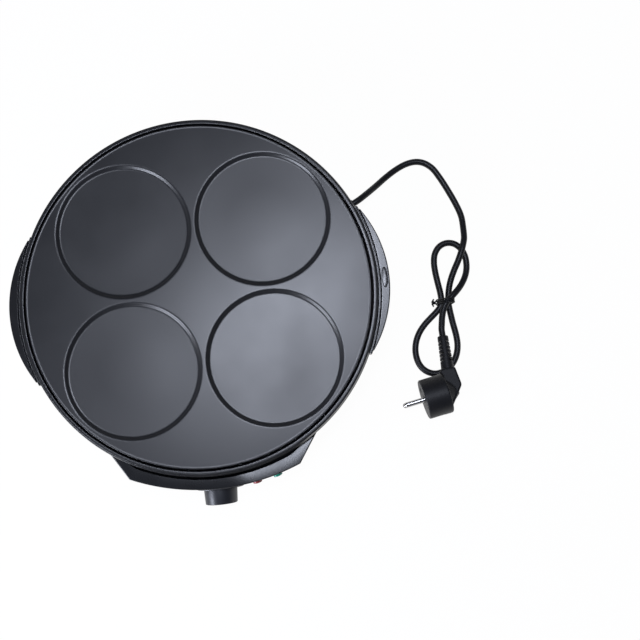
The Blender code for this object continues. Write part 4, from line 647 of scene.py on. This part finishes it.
def outwards(turn_degrees, height):
    """A place on the axis whose Z points outwards, this many degrees to the right of the front."""
    spin = Matrix.Rotation(FRONT + math.radians(turn_degrees), 4, "Z")
    return Matrix.Translation((0, 0, height)) @ (spin @ Matrix.Rotation(math.pi / 2, 4, "Y"))


panel_plastic = moulded("satin_panel_plastic", BLACK, SOFT_BLACK, 0.27, 2600.0, 0.000005, spread=0.03,
                        shine=0.42)
front_panel = prism("control_panel_moulding", panel_outline(0.0, PANEL_ROOT), 9.0, PANEL_TOP)
rounded(front_panel, 0.9, 4, 50)

# The panel's top is cut across every 2 mm at its right and then tilted: it rises a
# little towards the body behind the knob, and falls towards it at the right.
TOP_STRIP = 2.0
TOP_STRIPS = 24
TOP_START = -4.3
TILT_START = 2.0
TILT_SPREAD = 11.0
TILT_BEHIND_KNOB = -1.5
TILT_AT_RIGHT = 8.0
panel_top = bmesh.new()
panel_top.from_mesh(front_panel.data)
for step in range(TOP_STRIPS):
    bmesh.ops.bisect_plane(panel_top, geom=panel_top.verts[:] + panel_top.edges[:] + panel_top.faces[:],
                           plane_co=(TOP_STRIP * step + TOP_START, 0, 0), plane_no=(1, 0, 0))
bmesh.ops.triangulate(panel_top, faces=[face for face in panel_top.faces if len(face.verts) > 4])
for corner in panel_top.verts:
    if corner.co.z > PANEL_TOP - 1.0:
        corner_turn = math.degrees(math.atan2(corner.co.x, -corner.co.y))
        across = min(1.0, max(0.0, (corner_turn - TILT_START) / TILT_SPREAD))
        fall = math.radians(TILT_AT_RIGHT * across ** 2 * (3 - 2 * across) + TILT_BEHIND_KNOB)
        corner.co.z -= (PANEL_FRONT - corner.co.xy.length) * math.tan(fall)
panel_top.to_mesh(front_panel.data)
panel_top.free()
knob_place = outwards(0, KNOB_HEIGHT)
pad = capped("dial_pad", [
    (0, 167.0), (22.0, 167.0), (22.0, 168.6), (21.7, 168.9), (0, 168.9)], 96, knob_place)
cut(front_panel, pad, "UNION")
cut(front_panel, prism("lower_hollow", panel_outline(PANEL_WALL, 140.9), 11.5, 49.5))
cut(front_panel, prism("upper_hollow", panel_outline(PANEL_WALL, 162.3), 47.5, 55.5))
for turn_degrees in (-PANEL_SCREW_TURN, PANEL_SCREW_TURN):
    post_place = outwards(turn_degrees, PANEL_SCREW_HEIGHT)
    cut(front_panel, rod("screw_post", 4.2, PANEL_ROOT, 167.4, 40, post_place), "UNION")
shell_below = [point for point in shell_line(-0.4) if point[1] < 46.2]
cut(front_panel, capped("shell_room", [(0, 66.2), (156.2, 66.2)] + shell_below + [(139.2, 0), (0, 0)], 240))


CHANNEL_HALF_TURN = 31.0
CHANNEL_TAPER = 6.0
CHANNEL_ROOT = 156.4


def channel_profile(degrees):
    """The sunk channel cut upright, narrowing at the two ends of the panel."""
    width = 3.4 * min(1.0, (CHANNEL_HALF_TURN - abs(degrees + 90.0)) / CHANNEL_TAPER) + 0.2
    return [(155.0, 66.2), (CHANNEL_ROOT + width, 66.2), (CHANNEL_ROOT + width, 51.4), (155.0, 54.6)]


cut(front_panel, swept("channel", channel_profile, -90.0 - CHANNEL_HALF_TURN, -90.0 + CHANNEL_HALF_TURN, 61))
for turn_degrees, height, radius, low, high in (
        (-PANEL_SCREW_TURN, PANEL_SCREW_HEIGHT, 1.9, 150.0, 161.0),
        (PANEL_SCREW_TURN, PANEL_SCREW_HEIGHT, 1.9, 150.0, 161.0),
        (0, KNOB_HEIGHT, 4.0, 164.0, 171.0),
        (RED_TURN, LIGHT_HEIGHT, 3.6, 164.0, 171.0),
        (GREEN_TURN, LIGHT_HEIGHT, 3.6, 164.0, 171.0)):
    cut(front_panel, rod("panel_hole", radius, low, high, 40, outwards(turn_degrees, height)))
settle(front_panel, "appliance", "black_plastic", "front_panel", finish=panel_plastic)

# Pilot lights. Two small domed lenses of clear coloured plastic, red for power and
# green for ready, pressed into the panel to the right of the knob.


def clear_tint(name, colour, deep):
    """Clear moulded plastic in one tint, a little deeper in places."""
    material = moulded(name, colour, deep, 0.14, 700.0, 0.00001, 0.0, 400.0, 0.03)
    shader = material.node_tree.nodes["Principled BSDF"]
    shader.inputs["Transmission Weight"].default_value = 0.35
    shader.inputs["IOR"].default_value = 1.49
    return material


for tint, turn_degrees, out, colour, deep in (
        ("red", RED_TURN, 0.4, (0.42, 0.025, 0.03), (0.3, 0.012, 0.016)),
        ("green", GREEN_TURN, 0.9, (0.01, 0.38, 0.26), (0.0, 0.28, 0.19))):
    lens_place = outwards(turn_degrees, LIGHT_HEIGHT) @ Matrix.Translation((0, 0, out))
    lens = lathe(f"pilot_lens_{tint}_dome", eased([
        (0, 172.3), (2.2, 172.1), (4.1, 171.4, 0.7), (4.1, 169.6), (4.6, 169.6, 0.2), (4.6, 169.0, 0.1),
        (3.3, 169.0), (3.3, 163.0, 0.3), (0, 163.0)], 4, closed=False), 40, closed=False, place=lens_place)
    lens_plastic = clear_tint(f"{tint}_lens_plastic", colour, deep)
    settle(lens, "appliance", f"{tint}_lens", f"pilot_lens_{tint}", finish=lens_plastic)

# Dial sheet. A thin printed disc on the pad behind the knob, with a scale of ticks
# and plain numbers from 0 to 5 that the knob's groove points to.
DIAL_FACE = 169.95
DIAL_START = 45
TICK_STEP = 27
TICKS = 11
TICK_CIRCLE = 16.6
NUMBER_CIRCLE = 18.9
dial_print = moulded("dial_sheet_black", (0.03, 0.03, 0.033), (0.04, 0.04, 0.043), 0.3, 1200.0, 0.00001)
dial_white = moulded("dial_print_white", (0.7, 0.7, 0.68), (0.78, 0.78, 0.76), 0.5, 2500.0, 0.00001)
dial = lathe("dial_sheet_disc", eased([
    (4.0, DIAL_FACE), (21.0, DIAL_FACE, 0.2), (21.0, 169.2), (4.0, 169.2)], 3), 96, place=knob_place)
settle(dial, "appliance", "dial_sheet", "dial_plate", finish=dial_print)
ticks = prism("dial_ticks", oblong(-0.7, 0.7, -0.16, 0.16), 169.9, 170.0)
round_the_axis(ticks, TICKS, TICK_CIRCLE, DIAL_START, TICK_STEP, dial_white)
ticks.data.transform(knob_place)
settle(ticks, "appliance", "dial_sheet")
number_work = bmesh.new()
for value in range(6):
    text = bpy.data.curves.new("dial_number", "FONT")
    text.body = str(value)
    text.size = 3.2
    text.extrude = 0.05
    text.align_x = "CENTER"
    text.align_y = "CENTER"
    written = bpy.data.objects.new("dial_number", text)
    scene.collection.objects.link(written)
    bpy.context.view_layer.update()
    flat = bpy.data.meshes.new_from_object(written.evaluated_get(bpy.context.evaluated_depsgraph_get()))
    bpy.data.objects.remove(written)
    bend = math.radians(DIAL_START + 2 * TICK_STEP * value)
    spot = (NUMBER_CIRCLE * math.cos(bend), NUMBER_CIRCLE * math.sin(bend), DIAL_FACE)
    flat.transform(Matrix.Translation(spot) @ Matrix.Rotation(math.pi / 2, 4, "Z"))
    number_work.from_mesh(flat)
number_mesh = bpy.data.meshes.new("dial_numbers")
number_work.to_mesh(number_mesh)
number_work.free()
dial_numbers = linked("dial_numbers", number_mesh)
dial_numbers.data.transform(knob_place)
settle(dial_numbers, "appliance", "dial_sheet", finish=dial_white)

# Knob. A short tapered drum of satin grey-black plastic, pushed on the flat of the
# thermostat's shaft, with one groove across its face to point at the scale.
KNOB_FACE = 183.8
POINTER_TURN = 315
knob_satin = moulded("satin_knob_plastic", (0.012, 0.013, 0.016), (0.016, 0.017, 0.021), 0.38,
                     2200.0, 0.000008, shine=0.38)
knob = capped("knob_drum", eased([
    (0.0, KNOB_FACE), (14.2, KNOB_FACE, 0.9), (14.85, 171.4, 0.3), (14.9, 170.5, 0.25),
    (12.6, 170.5, 0.2), (12.6, 173.0), (3.4, 173.0), (3.4, 181.3), (0.0, 181.3)], 5, closed=False), 128)
cut(knob, prism("pointer_groove", oblong(3.0, 17.0, -0.8, 0.8), 183.1, 186.0,
                Matrix.Rotation(math.radians(POINTER_TURN), 4, "Z")))
knob.data.transform(knob_place)
settle(knob, "knob", "knob_plastic", "knob", finish=knob_satin)

# Works inside the body. Thermostat, element, straps, shield, posts, wiring and their
# fixings, which stay as the frame has them and only take their real finishes.
bright_steel = moulded("zinc_plated_sheet", (0.56, 0.57, 0.58), (0.66, 0.66, 0.64), 0.34,
                       600.0, 0.00002, 1.0, 60.0)
sheath = moulded("heat_blued_sheath", (0.26, 0.25, 0.24), (0.36, 0.33, 0.29), 0.42,
                 1400.0, 0.00003, 1.0, 45.0)
fired_clay = moulded("white_fired_clay", (0.78, 0.76, 0.7), (0.86, 0.84, 0.79), 0.42,
                     1100.0, 0.00004, 0.0, 80.0)
neon_glass = moulded("neon_lamp_glass", (0.75, 0.55, 0.42), (0.82, 0.64, 0.5), 0.12,
                     300.0, 0.00001, 0.0, 120.0)
brown_skin = moulded("brown_wire_skin", (0.13, 0.05, 0.018), (0.17, 0.07, 0.025), 0.45, 1600.0, 0.00002)
blue_skin = moulded("blue_wire_skin", (0.015, 0.06, 0.33), (0.025, 0.085, 0.42), 0.45, 1600.0, 0.00002)
earth_skin = moulded("green_yellow_wire_skin", (0.05, 0.3, 0.04), (0.62, 0.56, 0.03), 0.45,
                     1600.0, 0.00002, 0.0, 90.0)
finishes = {
    "heat_shield": bright_steel, "thermostat_bracket": bright_steel, "earth_lug": bright_steel,
    "thermostat_shaft": screw_zinc, "panel_screw_left": screw_zinc, "panel_screw_right": screw_zinc,
    "heating_element": sheath, "thermal_fuse": fired_clay, "thermostat_body": fired_clay,
    "terminal_block": fired_clay, "wire_live": brown_skin, "wire_element": brown_skin,
    "wire_neutral": blue_skin, "wire_earth": earth_skin, "lamp_sleeve_red": body_plastic,
    "lamp_sleeve_green": body_plastic, "neon_lamp_red": neon_glass, "neon_lamp_green": neon_glass}
for index in (1, 2, 3):
    finishes[f"plate_post_{index}"] = screw_zinc
    finishes[f"element_strap_{index}"] = bright_steel
for side in ("left", "right"):
    for end in ("front", "rear"):
        finishes[f"handle_screw_{side}_{end}"] = screw_zinc
for name, finish in finishes.items():
    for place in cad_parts[name].material_slots:
        place.material = finish

# Strain relief. A tapered rubber sleeve with cut rings, snapped into the shell where
# the cord leaves it at the rear right.
RELIEF_TIP = 164.37
relief = lathe("strain_relief_sleeve", eased([
    (0, RELIEF_TIP), (3.6, RELIEF_TIP), (4.1, 164.2, 0.3), (4.35, 161.9, 0.2), (3.9, 161.7),
    (3.9, 161.0), (4.5, 160.8, 0.2), (4.7, 159.0, 0.2), (4.2, 158.8), (4.2, 158.1), (4.85, 157.9, 0.2),
    (5.1, 154.6, 0.4), (6.6, 154.2, 0.4), (6.8, 152.6, 0.3), (5.2, 152.6), (5.2, 139.8),
    (8.0, 139.8, 0.4), (8.0, 137.6, 0.4), (0, 137.6)], 3, closed=False), 48, closed=False,
    place=relief_place)
settle(relief, "appliance", "black_rubber", "strain_relief", finish=foot_rubber)

# Plug. A round two-pin mains plug moulded in one with its flat back and a slotted
# neck, with nickel pins and earth strips; it lies on its side with its pins to the left.
PLUG_RADIUS = 18.5
PIN_OUT = 9.5
PIN_SLANT = 8.5
NECK_LENGTH = 36.5
SLOT_START = 12.0
SLOT_STEP = 3.6
SLOT_WIDTH = 1.4
plug_place = (Matrix.Translation((190.6, -109.9, 18.6)) @ Matrix.Rotation(math.radians(11.5), 4, "Z")
              @ Matrix.Rotation(math.pi / 2, 4, "Y") @ Matrix.Rotation(math.radians(-11), 4, "Z"))
plug = capped("plug_moulding", eased([
    (0, 23.0), (PLUG_RADIUS, 23.0, 1.6), (PLUG_RADIUS, 0.0, 1.0), (0, 0.0)], 5, closed=False), 128)
back_outline = [(side * PLUG_RADIUS, 18.0 + rise * 19.2) for side, rise in (
    (-0.89, 0.14), (-0.76, 0.0), (0.76, 0.0), (1.18, 0.29), (1.11, 0.97), (0.14, 1.0))]
plug_back = prism("plug_back", back_outline, -6.4, 6.4,
                  Matrix.Rotation(math.pi / 2, 4, "Z") @ Matrix.Rotation(math.pi / 2, 4, "X"))
cut(plug, rounded(plug_back, 2.0, 5), "UNION")
cut(plug, capped("plug_hump", [(0, 18.0), (16.4, 18.0), (4.0, 33.0), (0, 33.0)], 96), "UNION")
neck_place = Matrix.Translation((0, 16.0, 29.3)) @ Matrix.Rotation(math.radians(10.5) - math.pi / 2, 4, "X")
neck_line = eased([(0, 0), (6.2, 0), (5.0, NECK_LENGTH, 0.6), (0, NECK_LENGTH)], 4, closed=False)
cut(plug, capped("plug_neck", neck_line, 48, neck_place), "UNION")
soften = plug.modifiers.new("one_skin", "REMESH")
soften.mode = "VOXEL"
soften.voxel_size = 0.42
soften.adaptivity = 0
ease = plug.modifiers.new("soft_joins", "SMOOTH")
ease.factor = 0.5
ease.iterations = 6
plain(plug)
for row in range(6):
    low = SLOT_START + SLOT_STEP * row
    for near, far in ((-8.2, -1.8), (1.8, 8.2)):
        cut(plug, prism("neck_slot", oblong(-8.2, 8.2, near, far), low, low + SLOT_WIDTH, neck_place))
cut(plug, rod("earth_hole", 2.5, -2, 12, 32, Matrix.Translation((0, PIN_OUT, 0))))
nickel = moulded("nickel_plated_brass", (0.36, 0.355, 0.35), (0.44, 0.435, 0.43), 0.2,
                 500.0, 0.000002, 1.0, 90.0)
plug_vinyl = moulded("black_plug_vinyl", (0.005, 0.005, 0.006), (0.008, 0.008, 0.0095), 0.46,
                     1800.0, 0.00001, shine=0.24)
plug_pieces = []
pin_turn = Matrix.Rotation(math.radians(PIN_SLANT), 4, "Z")
for index, side in enumerate((-1, 1), 1):
    pin_place = pin_turn @ Matrix.Translation((side * PIN_OUT, 0, 0))
    strip_place = pin_turn @ Matrix.Rotation(side * math.pi / 2, 4, "Z")
    cut(plug, rod("pin_bore", 2.7, -2, 5, 32, pin_place))
    cut(plug, prism("earth_groove", oblong(16.7, 20.5, -3.2, 3.2), -2, 15.0, strip_place))
    pin_line = eased([
        (0, 4.7), (2.4, 4.7), (2.4, -17.6, 1.2), (1.2, -19.0, 0.6), (0, -19.0)], 5, closed=False)
    pin = lathe(f"plug_pin_{index}_turned", pin_line, 40, closed=False, place=plug_place @ pin_place)
    settle(pin, "appliance", "nickel_plate", f"plug_pin_{index}", finish=nickel)
    strip = prism(f"plug_earth_strip_{index}_pressed", oblong(17.0, 17.8, -2.9, 2.9), 0.0, 14.7,
                  plug_place @ strip_place)
    rounded(strip, 0.25, 3)
    settle(strip, "appliance", "nickel_plate", f"plug_earth_strip_{index}", finish=nickel)
    plug_pieces += [pin, strip]
plug.data.transform(plug_place)
settle(plug, "appliance", "black_plastic", "plug_body", finish=plug_vinyl, crease=40)

# Cord. One length of black round lead: it drops from the sleeve to the table, turns
# back beside the body and is folded in a hank that ends in the plug's neck.
LEAD = [
    (158.6, 88.0, 17.6), (167.5, 95.4, 11.6), (178.3, 104.5, 6.0), (188.8, 111.6, 3.9),
    (199.1, 116.4, 3.2), (208.9, 117.9, 3.2), (217.4, 115.6, 3.2), (224.5, 109.8, 3.2),
    (229.6, 101.7, 3.2), (234.2, 92.8, 3.2), (238.2, 84.2, 3.2), (242.0, 75.4, 3.2),
    (245.3, 66.2, 3.5), (246.8, 59.2, 4.2)]
OVER_THE_HANK = [(247.05, 52.6, 5.15), (246.55, 40.6, 7.65)]
HANK = [
    (245.2, 34.6, 9.2), (242.2, 26.3, 10.2), (238.2, 17.4, 9.6),
    (233.6, 8.7, 7.6), (229.6, -0.2, 5.9), (226.8, -9.5, 5.1), (225.3, -20.0, 4.9),
    (225.6, -27.2, 4.6), (226.4, -33.5, 4.0), (227.4, -40.5, 3.4), (228.6, -47.5, 3.2),
    (229.5, -54.5, 3.2), (229.6, -61.8, 3.2), (228.2, -69.0, 3.2), (225.0, -76.0, 3.2),
    (220.0, -81.8, 3.2), (213.2, -85.6, 3.2), (205.6, -86.6, 3.2), (198.6, -84.2, 3.2),
    (193.2, -79.0, 3.2), (190.2, -71.6, 3.2), (189.6, -63.0, 3.2), (191.4, -54.4, 3.2),
    (195.4, -46.4, 3.2), (201.0, -39.6, 3.3), (207.2, -34.0, 3.8), (213.0, -29.0, 4.4),
    (217.2, -24.4, 4.8), (218.8, -18.6, 4.9), (218.6, -10.8, 4.4), (217.4, -1.2, 3.6),
    (216.3, 8.6, 3.2), (216.0, 17.8, 3.2), (217.6, 26.2, 3.2), (222.2, 32.8, 3.2),
    (229.0, 35.9, 3.2), (236.4, 34.9, 3.2), (242.4, 30.0, 3.2), (245.8, 22.8, 3.2),
    (246.6, 14.6, 3.4), (245.3, 6.6, 4.2), (242.2, -0.4, 5.9), (237.6, -7.0, 8.3),
    (232.2, -12.6, 10.7), (226.6, -17.6, 11.6), (222.0, -22.2, 11.1), (219.0, -28.0, 10.2),
    (217.2, -34.6, 9.2), (216.3, -40.6, 8.2)]


def smooth_run(points, fineness):
    """A smooth line through the points, with its first and last runs straight."""
    fine = [points[0]]
    for four in zip(points, points[1:], points[2:], points[3:]):
        fine += [between(*four, step / fineness) for step in range(fineness)]
    return fine + [points[-2], points[-1]]


def lead_curve(name, points, radius, sides, finish):
    """A round lead along a line of points in millimetres."""
    data = bpy.data.curves.new(name, "CURVE")
    data.dimensions = "3D"
    data.bevel_depth = radius * MILLIMETRE
    data.bevel_resolution = sides
    data.use_fill_caps = True
    spline = data.splines.new("POLY")
    spline.points.add(len(points) - 1)
    for point, place in zip(spline.points, points):
        point.co = (*(AXIS @ Vector(place)), 1)
    spline.use_smooth = True
    data.materials.append(finish)
    obj = bpy.data.objects.new(name, data)
    scene.collection.objects.link(obj)
    return obj


STRAIGHT_RUN = 6.3
exit_way = relief_way.to_3x3() @ Vector((0, 0, 1))
cord_exit = relief_place @ Vector((0, 0, RELIEF_TIP))
neck_tip = plug_place @ neck_place @ Vector((0, 0, NECK_LENGTH))
neck_way = (plug_place @ neck_place).to_3x3() @ Vector((0, 0, 1))
cord_line = smooth_run(
    [cord_exit, cord_exit + exit_way * STRAIGHT_RUN]
    + [Vector(place) for place in LEAD + OVER_THE_HANK + HANK]
    + [neck_tip + neck_way * STRAIGHT_RUN, neck_tip], 4)
cord_vinyl = moulded("black_cord_vinyl", (0.005, 0.005, 0.006), (0.008, 0.008, 0.0095), 0.42,
                     1500.0, 0.00001, shine=0.26)
cord = lead_curve("mains_cord", cord_line, 3.0, 6, cord_vinyl)
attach(cord, "appliance")
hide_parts("cord_lead", "cord_hank")

# Twist tie. One plastic-covered wire pulled tight round the three strands of the
# hank, its two ends twisted together beside them and left spread.
TIE_AT = Vector((218.5, -20.2, 4.9))
TIE_TURNS = 3
TURN_STEPS = 72
TIE_HALF_WIDTH = 2.4
STRAND_RIM = 3.95
RIM_STEPS = 96
TWIST_LENGTH = 3.4
TWIST_RADIUS = 0.9
TWIST_STEPS = 24
strand_rims = []
for across_by, rise_by, spread_by in ((0.0, 0.0, 0.0), (6.8, 0.0, 0.0), (5.6, 6.5, 1.7)):
    for step in range(RIM_STEPS):
        bend = 2 * math.pi * step / RIM_STEPS
        strand_rims.append(Vector((across_by + math.cos(bend) * (STRAND_RIM + spread_by),
                                   rise_by + math.sin(bend) * STRAND_RIM)))


def pulled_tight(places):
    """The tight loop round flat points, anticlockwise from the leftmost."""
    ordered = sorted(places, key=lambda place: (place.x, place.y))

    def chain(sequence):
        """One side of the loop."""
        kept = []
        for place in sequence:
            while len(kept) > 1 and (kept[-1] - kept[-2]).cross(place - kept[-1]) <= 0:
                kept.pop()
            kept.append(place)
        return kept[:-1]

    return chain(ordered) + chain(ordered[::-1])


loop = pulled_tight(strand_rims)
loop.append(loop[0])
lengths = [0.0]
for start, end in zip(loop, loop[1:]):
    lengths.append(lengths[-1] + (end - start).length)
tie_loop = []
tie_steps = TIE_TURNS * TURN_STEPS
for step in range(1, tie_steps):
    goal = lengths[-1] * (step / TURN_STEPS % 1)
    index = max(place for place, length in enumerate(lengths) if length <= goal)
    part = (goal - lengths[index]) / (lengths[index + 1] - lengths[index])
    flat = loop[index].lerp(loop[index + 1], part)
    tie_loop.append(TIE_AT + Vector((flat.x, TIE_HALF_WIDTH * (2 * step / tie_steps - 1), flat.y)))
twist_start = loop[0].x - 1.4


def twisted(phase):
    """One of the two wires of the twist, from its far end to the loop."""
    found = []
    for step in range(TWIST_STEPS, -1, -1):
        bend = phase + 2 * math.pi * step / TWIST_STEPS
        found.append(TIE_AT + Vector((twist_start - TWIST_LENGTH * step / TWIST_STEPS,
                                      TWIST_RADIUS * math.cos(bend), TWIST_RADIUS * math.sin(bend))))
    return found


tie_line = ([TIE_AT + Vector((-7.4, -3.2, -1.8))] + twisted(math.pi) + tie_loop + twisted(0)[::-1]
            + [TIE_AT + Vector((-6.8, 3.4, 0.8))])
tie = lead_curve("twist_tie_wire", tie_line, 0.75, 4, plug_vinyl)
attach(tie, "appliance")
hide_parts("twist_tie")
